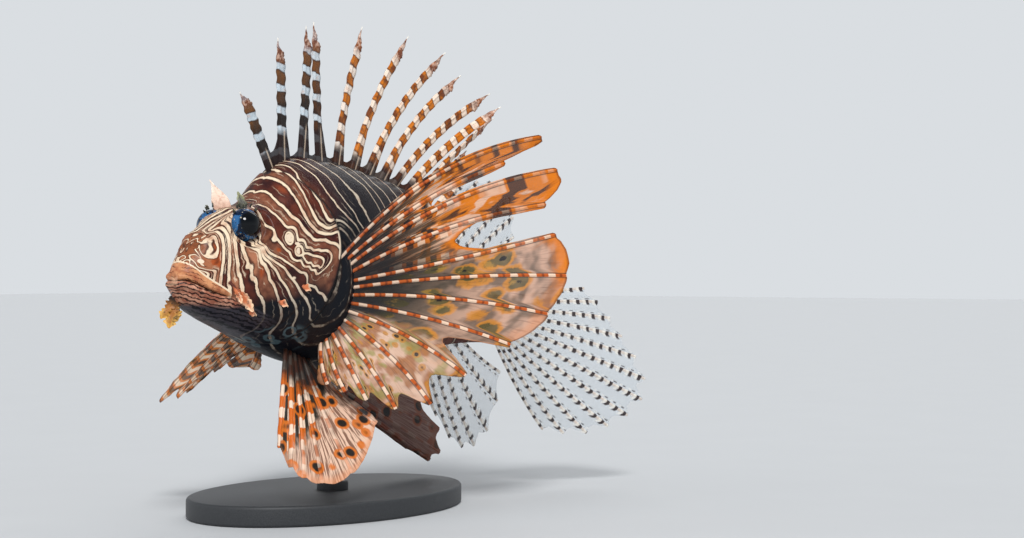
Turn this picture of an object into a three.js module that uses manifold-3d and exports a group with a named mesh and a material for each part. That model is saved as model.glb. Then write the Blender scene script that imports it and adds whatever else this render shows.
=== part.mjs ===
// Red lionfish (Pterois volitans), life size, held on a plain display stand.
// Millimetres, +Z up, head towards -X, the fish's left side towards -Y.
import * as THREE from "three";
import { mergeVertices } from "three/addons/utils/BufferGeometryUtils.js";
import Module from "manifold-3d";

const wasm = await Module();
wasm.setup();

const degrees = Math.PI / 180;

// Clearance between neighbouring pieces.
const clearance = 0.3;

// Pose of the body: nose raised, tail swung towards the left side.
const noseUp = 5.4 * degrees;
const tailSwing = 12 * degrees;
const swingStart = 100;
const bodyLength = 216;

// Where the trunk ends and the tail stem starts.
const trunkEnd = 186;

// Body sections: station back from the snout, height of the back, height of the belly,
// half width, the share of the height where it is widest, roundness above and below.
const sections = [
  [0, 3, -4, 3, 0.5, 2, 2],
  [4, 10, -8, 6.5, 0.47, 2, 2.1],
  [10, 18, -12, 10.5, 0.42, 2.1, 2.3],
  [20, 26, -15.5, 15, 0.4, 2.3, 2.4],
  [32, 33, -18.5, 19.8, 0.38, 2.3, 2.4],
  [44, 40, -22, 22.5, 0.38, 2.1, 2.3],
  [56, 54, -26, 24.5, 0.38, 1.9, 2.2],
  [70, 60, -29.5, 26, 0.4, 1.85, 2.1],
  [85, 61, -31, 26, 0.42, 1.8, 2.1],
  [100, 61, -31.5, 25, 0.44, 1.8, 2.1],
  [120, 59.5, -30.5, 21.5, 0.46, 1.8, 2.1],
  [143, 56, -26, 16.5, 0.46, 1.85, 2.1],
  [165, 46, -19.5, 11.5, 0.46, 1.9, 2],
  [185, 29, -15, 7.5, 0.46, 2, 2],
  [202, 16.5, -13, 5.2, 0.48, 2, 2],
  [216, 11, -12.5, 4, 0.5, 2, 2],
];
const sectionColumn = (i) => sections.map((row) => row[i]);
const profile = {
  station: sectionColumn(0),
  top: sectionColumn(1),
  bottom: sectionColumn(2),
  halfWidth: sectionColumn(3),
  widestShare: sectionColumn(4),
  topPower: sectionColumn(5),
  bottomPower: sectionColumn(6),
};

// Swellings and hollows of the head: centre (x, side, z), reach along each axis, height.
const swellings = [
  { name: "eye mound", at: [30.5, 10.5, 25], reach: [9, 8, 9], height: 3.5 },
  { name: "hollow between the eyes", at: [31, 0, 31], reach: [11, 4.5, 9], height: -2 },
  { name: "snout bump", at: [12, 6, 18], reach: [6, 4, 4], height: 1.2 },
  { name: "cheek", at: [50, 24, -6], reach: [16, 9, 12], height: 1.2 },
  { name: "cheek ridge", at: [42, 21, 9], reach: [20, 7, 3.2], height: 1.1 },
  { name: "pectoral pad", at: [79, 25, -1], reach: [5, 9, 20], height: 1.8 },
];

// The gill edge: its station at angles round the body, from the back down to the throat.
const gillEdge = {
  angle: [0, 0.6, 1.2, 1.6, 2.3, Math.PI],
  station: [51, 60, 74.5, 70, 58, 46],
  flare: 1.3,
  least: 0.15,
  reach: 7,
};

const eye = { at: [30.5, 9.8, 25.6], radius: 6.4, facing: [-0.28, 1, 0.12] };
const eyeRim = { radius: 7, thickness: 1.5, sink: 1.3 };

// Mouth: its line along the left side as (x, z), and the lips that follow it.
const mouth = {
  x: [0, 1.6, 5.9, 9.7, 13.4, 21],
  z: [-0.6, -0.3, -1.5, -3.2, -4.5, -6],
  front: 1.2,
  corner: 21,
  lipRadius: 1.8,
  lipEndShare: 0.55,
  lipSink: 0.8,
  upperLip: 1.5,
  lowerLip: -1.7,
  slit: 1.1,
  slitEndShare: 0.35,
  depth: 3,
};

// Nostrils: two small pits on each side of the snout.
const nostrils = [
  { x: 7.5, z: 14.2, radius: 0.9 },
  { x: 12.5, z: 18, radius: 0.7 },
];
const nostrilDepth = 2;

// Small skin flaps on the cheeks: flat leaves rooted in the surface and leaning back.
const cheekFlaps = [
  { x: 43, z: -6, length: 7, width: 3.2, droop: 0.9 },
  { x: 52.5, z: 1.5, length: 6, width: 3, droop: 0.7 },
  { x: 30, z: -11, length: 6, width: 3, droop: 1.2 },
];

// Skin tentacles over the eyes and frilled flaps beside the mouth.
const brow = {
  left: { root: [32, -7, 32], direction: [0, 0, 1], length: 7, width: 2.8, droop: 0.3 },
  right: { root: [34, 6.5, 32], direction: [-0.15, 0.1, 1], length: 14, width: 7.5, droop: 0.25 },
};
const cirrus = {
  left: { x: 20, z: -1, direction: [0.75, -0.35, -0.75], length: 12, width: 4, droop: 0.4 },
  right: { x: 5.5, z: -8, direction: [0, 0.12, -1], length: 13, width: 8, droop: 0.3 },
};

const stand = {
  length: 150,
  width: 100,
  thickness: 9,
  edge: 1.5,
  rodRadius: 3,
  collarRadius: 7,
  collarHeight: 4,
  collarChamfer: 1,
  snoutAboveBase: 95,
  rodStation: 98,
  rodSide: -2.5,
};

// A cubic curve through (xs, ys) whose slopes come from each point's two neighbours.
function curve(xs, ys, x) {
  const last = xs.length - 1;
  const slope = (i) => (ys[i + 1] - ys[i]) / (xs[i + 1] - xs[i]);
  const tangent = (i) => {
    if (i === 0 || i === last) {
      return slope(Math.min(i, last - 1));
    }
    const before = xs[i] - xs[i - 1];
    const after = xs[i + 1] - xs[i];
    return (slope(i - 1) * after + slope(i) * before) / (before + after);
  };
  let i = 0;
  while (i < last - 1 && x > xs[i + 1]) {
    i++;
  }
  const h = xs[i + 1] - xs[i];
  const t = Math.min(1, Math.max(0, (x - xs[i]) / h));
  const s = 1 - t;
  return (
    (1 + 2 * t) * s * s * ys[i] +
    t * s * s * h * tangent(i) +
    t * t * (3 - 2 * t) * ys[i + 1] -
    t * t * s * h * tangent(i + 1)
  );
}

// A cubic curve through values that are evenly spaced over 0 to 1.
function along(values, f) {
  const xs = values.map((_, i) => i / (values.length - 1));
  return curve(xs, values, f);
}

const mix = (a, b, t) => a + (b - a) * t;
const powerOf = (value, power) => Math.sign(value) * Math.abs(value) ** power;

// Heading of the body's axis at a station.
function heading(station) {
  const t = Math.min(1, Math.max(0, (station - swingStart) / (bodyLength - swingStart)));
  return tailSwing * t * t * (3 - 2 * t);
}

// The body's bent axis: x and y at each whole millimetre, stepped along its heading.
const axisStart = -10;
const axisEnd = 240;
const axisLine = [{ x: axisStart, y: 0 }];
for (let s = axisStart + 1; s <= axisEnd; s++) {
  const before = axisLine[axisLine.length - 1];
  const turn = heading(s - 0.5);
  axisLine.push({ x: before.x + Math.cos(turn), y: before.y - Math.sin(turn) });
}

// A point beside the axis: station along it, distance to the right, height.
function place(station, side, z) {
  const cell = Math.min(axisLine.length - 2, Math.max(0, Math.floor(station - axisStart)));
  const t = station - axisStart - cell;
  const turn = heading(station);
  return new THREE.Vector3(
    mix(axisLine[cell].x, axisLine[cell + 1].x, t) + Math.sin(turn) * side,
    mix(axisLine[cell].y, axisLine[cell + 1].y, t) + Math.cos(turn) * side,
    z,
  );
}

const topAt = (s) => curve(profile.station, profile.top, s);
const bottomAt = (s) => curve(profile.station, profile.bottom, s);

function gillAt(angle) {
  const round = Math.abs(Math.atan2(Math.sin(angle), Math.cos(angle)));
  return curve(gillEdge.angle, gillEdge.station, round);
}

// The flare of the gill edge, strongest on the side and almost gone on back and throat.
const gillFlare = (angle) => gillEdge.flare * mix(gillEdge.least, 1, Math.sin(angle) ** 2);

// The body's surface: a superellipse at each station, pushed out by the swellings and the
// flared gill edge. The angle is 0 at the back, a quarter turn on the left side.
function bodyPoint(station, angle, grow = 0) {
  const at = (values) => curve(profile.station, values, station);
  const top = at(profile.top);
  const bottom = at(profile.bottom);
  const width = at(profile.halfWidth);
  const middle = mix(bottom, top, at(profile.widestShare));
  const c = Math.cos(angle);
  const s = Math.sin(angle);
  const height = c >= 0 ? top - middle : middle - bottom;
  const power = at(c >= 0 ? profile.topPower : profile.bottomPower);
  let y = -width * powerOf(s, 2 / power);
  let z = middle + height * powerOf(c, 2 / power);
  const ny = -powerOf(s, 2 - 2 / power) / width;
  const nz = powerOf(c, 2 - 2 / power) / height;
  const length = Math.hypot(ny, nz);
  let push = grow;
  for (const { at: centre, reach, height: rise } of swellings) {
    const dx = (station - centre[0]) / reach[0];
    const dy = (Math.abs(y) - centre[1]) / reach[1];
    const dz = (z - centre[2]) / reach[2];
    push += rise * Math.exp(-dx * dx - dy * dy - dz * dz);
  }
  const behind = (station - gillAt(angle)) / gillEdge.reach;
  if (behind <= 1e-6) {
    push += gillFlare(angle) * Math.exp(-behind * behind);
  }
  y += (ny / length) * push;
  z += (nz / length) * push;
  return place(station, y, z);
}

// One closed surface from rings of points, each end closed by a fan to a point.
function closedRings(rings, startPoint, endPoint) {
  const around = rings[0].length;
  const positions = [];
  const index = [];
  for (const p of [...rings.flat(), startPoint, endPoint]) {
    positions.push(p.x, p.y, p.z);
  }
  const start = rings.length * around;
  const end = start + 1;
  for (let i = 0; i < rings.length - 1; i++) {
    for (let j = 0; j < around; j++) {
      const a = i * around + j;
      const b = i * around + ((j + 1) % around);
      index.push(a, b, b + around, a, b + around, a + around);
    }
  }
  const lastRow = (rings.length - 1) * around;
  for (let j = 0; j < around; j++) {
    const next = (j + 1) % around;
    index.push(start, next, j);
    index.push(end, lastRow + j, lastRow + next);
  }
  const geometry = new THREE.BufferGeometry();
  geometry.setAttribute("position", new THREE.Float32BufferAttribute(positions, 3));
  geometry.setIndex(index);
  return geometry;
}

// A closed solid from a mesh, turned right side out.
function solidOf(geometry) {
  const loose = geometry.index ? geometry.toNonIndexed() : geometry;
  const bare = new THREE.BufferGeometry();
  bare.setAttribute("position", loose.getAttribute("position"));
  const merged = mergeVertices(bare, 1e-4);
  const build = (triangles) =>
    new wasm.Manifold(
      new wasm.Mesh({
        numProp: 3,
        vertProperties: new Float32Array(merged.attributes.position.array),
        triVerts: triangles,
      }),
    );
  const triangles = new Uint32Array(merged.index.array);
  const made = build(triangles);
  if (made.volume() > 0) {
    return made;
  }
  for (let i = 0; i < triangles.length; i += 3) {
    [triangles[i + 1], triangles[i + 2]] = [triangles[i + 2], triangles[i + 1]];
  }
  return build(triangles);
}

// The largest closed body of a solid, as a geometry.
function largestBody(solid) {
  const bodies = solid.decompose();
  bodies.sort((a, b) => b.volume() - a.volume());
  const mesh = bodies[0].getMesh();
  const positions = new Float32Array(mesh.numVert * 3);
  for (let i = 0; i < mesh.numVert; i++) {
    positions.set(mesh.vertProperties.subarray(i * mesh.numProp, i * mesh.numProp + 3), i * 3);
  }
  const geometry = new THREE.BufferGeometry();
  geometry.setAttribute("position", new THREE.BufferAttribute(positions, 3));
  geometry.setIndex(new THREE.BufferAttribute(new Uint32Array(mesh.triVerts), 1));
  return geometry;
}

// Rings of the body. Those of the head lie closer together towards the snout.
const around = 34;
const headRings = 21;
const trunkRings = 18;
const tailRings = 5;
const snoutRing = { share: 0.35, power: 1.15 };
const snout = { ahead: 0.2, z: -0.5 };
const gillCore = { station: 62, z: 12 };
const angles = Array.from({ length: around }, (_, j) => (2 * Math.PI * j) / around);

function headRows(grow) {
  return Array.from({ length: headRings }, (_, i) => {
    const f = ((i + snoutRing.share) / (headRings - 1 + snoutRing.share)) ** snoutRing.power;
    return angles.map((angle) => bodyPoint(gillAt(angle) * f, angle, grow));
  });
}

// The step from the flared gill edge down to the trunk's own surface.
function gillStep() {
  return angles.map((angle) => bodyPoint(gillAt(angle), angle, -gillFlare(angle)));
}

function trunkRows(grow, gap) {
  return Array.from({ length: trunkRings }, (_, i) => {
    const f = i / (trunkRings - 1);
    return angles.map((angle) => {
      const start = gillAt(angle) + gap;
      return bodyPoint(mix(start, trunkEnd, f), angle, grow);
    });
  });
}

function tailRows(grow, gap) {
  return Array.from({ length: tailRings }, (_, i) => {
    const station = mix(trunkEnd + gap, bodyLength, i / (tailRings - 1));
    return angles.map((angle) => bodyPoint(station, angle, grow));
  });
}

const snoutTip = (grow) => place(-snout.ahead - grow, 0, snout.z);
const middleOf = (station) => place(station, 0, (topAt(station) + bottomAt(station)) / 2);

// The whole body, pushed out by a clearance: what every fin root is cut with.
function bodyCutter(grow) {
  const seam = 0.02;
  const rows = [...headRows(grow), ...trunkRows(grow, seam), ...tailRows(grow, seam)];
  return solidOf(closedRings(rows, snoutTip(grow), middleOf(bodyLength + grow)));
}
const cutter = bodyCutter(clearance);

function headSolid() {
  const rows = [...headRows(0), gillStep()];
  return solidOf(closedRings(rows, snoutTip(0), place(gillCore.station, 0, gillCore.z)));
}

function trunkGeometry() {
  const front = place(gillCore.station + clearance * 1.5, 0, gillCore.z);
  return closedRings(trunkRows(0, clearance), front, middleOf(trunkEnd));
}

function tailGeometry() {
  return closedRings(tailRows(0, clearance), middleOf(trunkEnd + clearance), middleOf(bodyLength));
}

// The eyes' rims: a ring standing on the head, facing out and a little forward.
function eyeDirection(side) {
  return new THREE.Vector3(eye.facing[0], side * eye.facing[1], eye.facing[2]).normalize();
}

function eyePlace(side) {
  return new THREE.Vector3(eye.at[0], side * eye.at[1], eye.at[2]);
}

function eyeRimSolid(side, grow = 0) {
  const geometry = new THREE.TorusGeometry(eyeRim.radius, eyeRim.thickness + grow, 5, 16);
  const up = new THREE.Vector3(0, 0, 1);
  const turn = new THREE.Quaternion().setFromUnitVectors(up, eyeDirection(side));
  const middle = eyePlace(side).addScaledVector(eyeDirection(side), eyeRim.sink);
  geometry.applyMatrix4(new THREE.Matrix4().compose(middle, turn, new THREE.Vector3(1, 1, 1)));
  return solidOf(geometry);
}

// A point on the body's side at a given height, found by halving the angle.
function sidePoint(station, z, side, grow = 0) {
  let high = 0;
  let low = Math.PI;
  const halvings = 24;
  for (let i = 0; i < halvings; i++) {
    const middle = (high + low) / 2;
    if (bodyPoint(station, middle, grow).z > z) {
      high = middle;
    } else {
      low = middle;
    }
  }
  const point = bodyPoint(station, (high + low) / 2, grow);
  point.y *= -side;
  return point;
}

// The mouth's line round the snout, from the left corner over the front to the right corner.
function mouthLine(rise, grow) {
  const steps = 9;
  const left = Array.from({ length: steps }, (_, i) => {
    const x = mix(mouth.corner, mouth.front, i / (steps - 1));
    return sidePoint(x, curve(mouth.x, mouth.z, x) + rise, -1, grow);
  });
  const right = left.map((p) => new THREE.Vector3(p.x, -p.y, p.z)).reverse();
  const front = new THREE.Vector3(-grow, 0, mouth.z[0] + rise);
  return new THREE.CatmullRomCurve3([...left, front, ...right]);
}

// A closed tube along a curve, its radius falling to a point's width at both ends.
function taperedTube(path, steps, sides, radiusAt) {
  const frames = path.computeFrenetFrames(steps, false);
  const rows = [];
  for (let i = 0; i <= steps; i++) {
    const t = i / steps;
    const middle = path.getPointAt(t);
    const radius = radiusAt(t);
    rows.push(
      Array.from({ length: sides }, (_, j) => {
        const angle = (2 * Math.PI * j) / sides;
        return middle
          .clone()
          .addScaledVector(frames.normals[i], radius * Math.cos(angle))
          .addScaledVector(frames.binormals[i], radius * Math.sin(angle));
      }),
    );
  }
  return solidOf(closedRings(rows, path.getPointAt(0), path.getPointAt(1)));
}

function lipSolid(rise, grow = 0) {
  const radiusAt = (t) => mouth.lipRadius * mix(mouth.lipEndShare, 1, Math.sin(Math.PI * t)) + grow;
  return taperedTube(mouthLine(rise, -mouth.lipSink), 18, 6, radiusAt);
}

// The middle of a ring of points.
function centre(row) {
  return row.reduce((sum, p) => sum.add(p), new THREE.Vector3()).divideScalar(row.length);
}

// The slit between the lips: a flat wedge that follows the mouth's line into the head.
function mouthSlit() {
  const steps = 16;
  const outer = mouthLine(0, mouth.depth);
  const inner = mouthLine(0, -mouth.depth);
  const innerShare = 0.4;
  const rows = [];
  for (let i = 0; i <= steps; i++) {
    const t = i / steps;
    const half = (mouth.slit / 2) * mix(mouth.slitEndShare, 1, Math.sin(Math.PI * t));
    const a = outer.getPointAt(t);
    const b = inner.getPointAt(t);
    const lift = (p, dz) => new THREE.Vector3(p.x, p.y, p.z + dz);
    const innerHalf = half * innerShare;
    rows.push([lift(a, half), lift(a, -half), lift(b, -innerHalf), lift(b, innerHalf)]);
  }
  return solidOf(closedRings(rows, centre(rows[0]), centre(rows[steps])));
}

function nostrilSolid({ x, z, radius }, side) {
  const outer = sidePoint(x, z, side, nostrilDepth);
  const inner = sidePoint(x, z, side, -nostrilDepth);
  const geometry = new THREE.CylinderGeometry(radius, radius * 0.6, outer.distanceTo(inner), 8);
  const direction = outer.clone().sub(inner).normalize();
  const turn = new THREE.Quaternion().setFromUnitVectors(new THREE.Vector3(0, 1, 0), direction);
  const middle = outer.add(inner).multiplyScalar(0.5);
  geometry.applyMatrix4(new THREE.Matrix4().compose(middle, turn, new THREE.Vector3(1, 1, 1)));
  return solidOf(geometry);
}

// A leaf: a pointed blade that grows from a root along a direction, curling by its droop.
const leaf = { steps: 4, rootShare: 0.55, spread: 1.1, tipPower: 3, thinning: 0.55, least: 0.02 };

function leafSolid(root, direction, across, { length, width, droop, sink = 2, thickness = 0.9 }) {
  const face = new THREE.Vector3().crossVectors(direction, across).normalize();
  const rows = [];
  for (let i = 0; i <= leaf.steps; i++) {
    const t = i / leaf.steps;
    const reach = mix(-sink, length, t);
    const rounding = Math.sqrt(Math.max(leaf.least, 1 - t ** leaf.tipPower));
    const half = (width / 2) * (leaf.rootShare + leaf.spread * t) * rounding;
    const thick = (thickness / 2) * (1 - leaf.thinning * t);
    const curl = (droop / 2) * Math.max(0, reach) * t;
    const middle = root.clone().addScaledVector(direction, reach).addScaledVector(face, curl);
    rows.push([
      middle.clone().addScaledVector(across, half),
      middle.clone().addScaledVector(face, thick),
      middle.clone().addScaledVector(across, -half),
      middle.clone().addScaledVector(face, -thick),
    ]);
  }
  return solidOf(closedRings(rows, centre(rows[0]), centre(rows[leaf.steps])));
}

function cheekFlap(flap, side) {
  const root = sidePoint(flap.x, flap.z, side);
  const out = sidePoint(flap.x, flap.z, side, 1).sub(root).normalize();
  const lean = new THREE.Vector3(0.75, 0, -0.35);
  const direction = lean.addScaledVector(out, 0.8).normalize();
  const across = new THREE.Vector3().crossVectors(direction, out).normalize();
  return leafSolid(root, direction, across, flap);
}

function headGeometry() {
  let head = headSolid();
  for (const side of [-1, 1]) {
    head = head.add(eyeRimSolid(side));
    const socket = new THREE.SphereGeometry(eye.radius + clearance, 16, 10);
    socket.translate(...eyePlace(side).toArray());
    head = head.subtract(solidOf(socket));
  }
  head = head.add(lipSolid(mouth.upperLip)).add(lipSolid(mouth.lowerLip));
  head = head.subtract(mouthSlit());
  for (const side of [-1, 1]) {
    for (const nostril of nostrils) {
      head = head.subtract(nostrilSolid(nostril, side));
    }
    for (const flap of cheekFlaps) {
      head = head.add(cheekFlap(flap, side));
    }
  }
  return largestBody(head);
}

// Fins. Ray r of a fin leaves base(f), f from 0 to 1 across the fin, in an upright plane
// turned by its azimuth from the tail's direction towards one side, raised by its elevation
// and bowed by a share of its length. Each ray has a shaft with skin before and behind it,
// and the membrane between two rays reaches up to its share of their length.
function rayPoint(fin, f, t) {
  const azimuth = along(fin.azimuth, f) * degrees;
  const elevation = along(fin.elevation, f) * degrees;
  const length = along(fin.length, f);
  const bow = 4 * t * (1 - t) * along(fin.bow, f);
  const level = t * Math.cos(elevation) - bow * Math.sin(elevation);
  const rise = t * Math.sin(elevation) + bow * Math.cos(elevation);
  const way = new THREE.Vector3(Math.cos(azimuth) * level, -Math.sin(azimuth) * level, rise);
  return fin.base(f).addScaledVector(way, length);
}

// The unit direction along a ray.
function rayDirection(fin, f, t) {
  const step = 0.03;
  return rayPoint(fin, f, t + step).sub(rayPoint(fin, f, t - step)).normalize();
}

// The unit direction across the fin, square to the ray, towards the next ray.
function acrossRay(fin, f, t) {
  const step = 0.02;
  const next = rayPoint(fin, Math.min(1, f + step), t);
  const before = rayPoint(fin, Math.max(0, f - step), t);
  const across = next.sub(before);
  const ray = rayDirection(fin, f, t);
  return across.addScaledVector(ray, -across.dot(ray)).normalize();
}

// The rows of a fin lie closer together towards the tips, where the skin is thinner.
const tip = { from: 0.97, thickness: 0.7, rowPower: 1.4 };

// The skin beside a ray fills at most this share of the way to the next ray.
const marginShare = 0.4;

// The room beside a ray on its way to the neighbour before it (-1) or after it (1).
function roomBeside(fin, r, t, way) {
  const last = fin.rays - 1;
  if (r + way < 0 || r + way > last) {
    return Infinity;
  }
  const apart = rayPoint(fin, (r + way) / last, t).sub(rayPoint(fin, r / last, t));
  return marginShare * Math.abs(apart.dot(acrossRay(fin, r / last, t)));
}

// One column of a fin beside ray r: points with thicknesses from the root to a share of
// the ray's length. It keeps level with its neighbours at the root.
function finColumn(fin, r, offset, thick, share = 1) {
  const f = r / (fin.rays - 1);
  return Array.from({ length: fin.rows + 1 }, (_, i) => {
    const h = mix(1, fin.root, (1 - i / fin.rows) ** tip.rowPower);
    const t = h <= 0 ? h : share * (1 - (1 - h) ** (1 / share));
    const across = acrossRay(fin, f, t);
    const point = rayPoint(fin, f, t).addScaledVector(across, offset(t));
    const normal = new THREE.Vector3().crossVectors(across, rayDirection(fin, f, t)).normalize();
    return { point, normal, thick: thick(t) };
  });
}

const leadEdge = (fin, r) => (t) => -Math.min(fin.lead(t, r), roomBeside(fin, r, t, -1));
const trailEdge = (fin, r) => (t) => Math.min(fin.trail(t, r), roomBeside(fin, r, t, 1));
const skinAt = (fin) => (t) => fin.skin * (t > tip.from ? tip.thickness : 1);

// The ray itself: a thick shaft with thin skin before and behind it.
function rayColumns(fin, r) {
  const shaft = (t) => mix(fin.shaft[0], fin.shaft[1], Math.min(1, Math.max(0, t)));
  return [
    finColumn(fin, r, leadEdge(fin, r), skinAt(fin)),
    finColumn(fin, r, () => 0, shaft),
    finColumn(fin, r, trailEdge(fin, r), skinAt(fin)),
  ];
}

// The membrane's columns between ray r and the next, notched by the fin's own shares.
function membraneColumns(fin, r) {
  const edge = fin.membrane[Math.min(r, fin.membrane.length - 1)];
  return fin.between(r).map((v) => {
    const share = mix(edge, 1, Math.abs(2 * v - 1) ** fin.scallop);
    const before = finColumn(fin, r, trailEdge(fin, r), skinAt(fin), share);
    const after = finColumn(fin, r + 1, leadEdge(fin, r + 1), skinAt(fin), share);
    return before.map(({ point, normal, thick }, i) => ({
      point: point.clone().lerp(after[i].point, v),
      normal: normal.clone().lerp(after[i].normal, v).normalize(),
      thick,
    }));
  });
}

// A lobe: the rays from one to another with the membrane between them.
function lobeColumns(fin, first, last) {
  const columns = rayColumns(fin, first);
  for (let r = first; r < last; r++) {
    columns.push(...membraneColumns(fin, r), ...rayColumns(fin, r + 1));
  }
  return columns;
}

// The web that joins two lobes: thin skin from ray r to the next, up to its notch.
const web = { columns: 2, rows: 2, thickness: 0.6, rise: 1.25 };

function webColumns(fin, r) {
  const notch = fin.membrane[Math.min(r, fin.membrane.length - 1)];
  return Array.from({ length: web.columns + 1 }, (_, k) => {
    const v = k / web.columns;
    const f = (r + v) / (fin.rays - 1);
    const share = notch * mix(1, web.rise, (2 * v - 1) ** 2);
    return Array.from({ length: web.rows + 1 }, (_, i) => {
      const t = mix(fin.root, share, i / web.rows);
      const before = rayPoint(fin, r / (fin.rays - 1), t);
      const point = before.lerp(rayPoint(fin, (r + 1) / (fin.rays - 1), t), v);
      const normal = new THREE.Vector3().crossVectors(acrossRay(fin, f, t), rayDirection(fin, f, t));
      return { point, normal: normal.normalize(), thick: web.thickness };
    });
  });
}

// A closed sheet from columns, its two faces split into triangles alike.
function sheetGeometry(columns) {
  const wide = columns.length;
  const high = columns[0].length;
  const positions = [];
  for (const way of [1, -1]) {
    for (const column of columns) {
      for (const { point, normal, thick } of column) {
        const p = point.clone().addScaledVector(normal, (way * thick) / 2);
        positions.push(p.x, p.y, p.z);
      }
    }
  }
  const front = (i, j) => i * high + j;
  const back = (i, j) => wide * high + i * high + j;
  const index = [];
  for (let i = 0; i < wide - 1; i++) {
    for (let j = 0; j < high - 1; j++) {
      index.push(front(i, j), front(i + 1, j), front(i + 1, j + 1));
      index.push(front(i, j), front(i + 1, j + 1), front(i, j + 1));
      index.push(back(i, j), back(i + 1, j + 1), back(i + 1, j));
      index.push(back(i, j), back(i, j + 1), back(i + 1, j + 1));
    }
  }
  const upTo = (count) => Array.from({ length: count }, (_, k) => k);
  const border = [
    ...upTo(wide - 1).map((i) => [i, 0]),
    ...upTo(high - 1).map((j) => [wide - 1, j]),
    ...upTo(wide - 1).map((i) => [wide - 1 - i, high - 1]),
    ...upTo(high - 1).map((j) => [0, high - 1 - j]),
  ];
  border.forEach(([i, j], k) => {
    const [m, n] = border[(k + 1) % border.length];
    index.push(front(i, j), back(i, j), back(m, n));
    index.push(front(i, j), back(m, n), front(m, n));
  });
  const geometry = new THREE.BufferGeometry();
  geometry.setAttribute("position", new THREE.Float32BufferAttribute(positions, 3));
  geometry.setIndex(index);
  return geometry;
}

// A fin: its lobes, joined by their webs, cut clear of the body.
function finGeometry(fin) {
  const sheets = fin.lobes.map(([first, last]) => lobeColumns(fin, first, last));
  for (const [, last] of fin.lobes.slice(0, -1)) {
    sheets.push(webColumns(fin, last));
  }
  const solids = sheets.map((columns) => solidOf(sheetGeometry(columns)));
  return largestBody(wasm.Manifold.union(solids).subtract(cutter));
}

const even = (value) => () => value;
const oneBetween = () => [0.5];
const twoBetween = () => [0.33, 0.67];

// Pectoral fins: 14 rays on a curved base behind the gill edge.
function pectoralBase(side) {
  const top = { x: 76.5, y: 25.5, z: 17.5 };
  const foot = { x: 74.5, y: 17.5, z: -20 };
  const middle = { x: 5, y: 1.5 };
  return (f) => {
    const bulge = 4 * f * (1 - f);
    const x = mix(top.x, foot.x, f) + middle.x * bulge;
    const y = mix(top.y, foot.y, f) + middle.y * bulge;
    return new THREE.Vector3(x, side * y, mix(top.z, foot.z, f));
  };
}

// Skin beside each ray: the two upper lobes end in a flag behind their leading rays.
const flag = (t) => Math.sin(Math.PI * Math.min(1, Math.max(0, t)) ** 4);
const pectoralMargins = {
  lead: (t, r) => 1.1 + (r < 5 ? 0.8 * Math.sin(Math.PI * Math.max(0, t)) : 0.2),
  trail: (t, r) => 1.1 + (r === 0 || r === 2 ? 4.5 : 1) * flag(t),
};

const pectoralLeft = {
  rays: 14,
  lobes: [
    [0, 1],
    [2, 3],
    [4, 13],
  ],
  rows: 6,
  between: (r) => (r < 8 ? [0.3, 0.7] : [0.5]),
  root: -0.09,
  base: pectoralBase(-1),
  azimuth: [20, 21, 23, 25, 28, 31, 35, 40, 48, 58, 68, 80, 90, 98],
  elevation: [32, 29, 27, 22, 16.5, 7.5, -1, -10.5, -24.5, -40, -50, -56, -62, -72],
  length: [124, 101, 125, 114, 115, 110, 98, 83, 63, 57, 48, 37, 28, 20],
  bow: [0.08, 0.06, 0.06, 0.045, -0.01, 0.02, 0.03, 0.03, 0.05, 0.05, 0.03, 0, -0.05, -0.08],
  membrane: [0.95, 0.42, 0.95, 0.5, 0.96, 0.96, 0.94, 0.7, 0.76, 0.78, 0.8, 0.82, 0.82],
  scallop: 2,
  shaft: [2, 0.9],
  skin: 0.7,
  ...pectoralMargins,
};

const pectoralRight = {
  ...pectoralLeft,
  lobes: [
    [0, 1],
    [2, 3],
    [4, 6],
    [7, 13],
  ],
  rows: 5,
  between: oneBetween,
  base: pectoralBase(1),
  azimuth: [-17, -18, -20, -23, -27, -36, -58, -99, -105, -110, -115, -118, -122, -126],
  elevation: [22, 18, 13, 8, 1, -8, -25, -41, -40, -41, -44, -50, -58, -70],
  length: [118, 104, 120, 112, 108, 95, 58, 67, 66, 74, 33, 25, 21, 18],
  bow: [0.07, 0.06, 0.06, 0.06, 0.06, 0.035, 0.02, 0.04, 0.04, 0.02, 0, 0, -0.05, -0.08],
  membrane: [0.84, 0.44, 0.88, 0.52, 0.9, 0.8, 0.35, 0.6, 0.7, 0.76, 0.78, 0.8, 0.8],
};

// Pelvic fins: a spine and five rays under the chest.
function pelvicBase(side, start) {
  const run = 15;
  return (f) => new THREE.Vector3(start + run * f, side * mix(9.5, 7.5, f), mix(-23.5, -26, f));
}

const pelvicLeft = {
  rays: 6,
  lobes: [[0, 5]],
  rows: 5,
  between: twoBetween,
  root: -0.04,
  base: pelvicBase(-1, 61),
  azimuth: [139, 131, 125, 117, 100, 64],
  elevation: [-67, -61, -58, -56, -52, -40],
  length: [49, 58, 64, 67, 64, 47],
  bow: [0.06, 0.05, 0.03, 0, -0.03, -0.05],
  membrane: [0.95, 0.97, 0.98, 0.97, 0.96],
  scallop: 1.5,
  shaft: [2, 0.9],
  skin: 0.7,
  lead: even(1),
  trail: even(1),
};

const pelvicRight = {
  ...pelvicLeft,
  root: -0.02,
  base: pelvicBase(1, 70),
  azimuth: [3, 5, 7, 8, 8, 7],
  elevation: [-23, -25, -25, -22.5, -17.5, -11],
  length: [88, 100, 111, 111, 103, 89],
  bow: [0, 0, 0, 0, 0, 0],
};

// Median fins stand on the back, the belly and the tail stem, their roots sunk in the body.
const turnAt = (station) => heading(station) / degrees;
const sunk = 3;

function backBase(from, to) {
  return (f) => {
    const station = mix(from, to, f);
    return place(station, 0, topAt(station) - sunk);
  };
}

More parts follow.
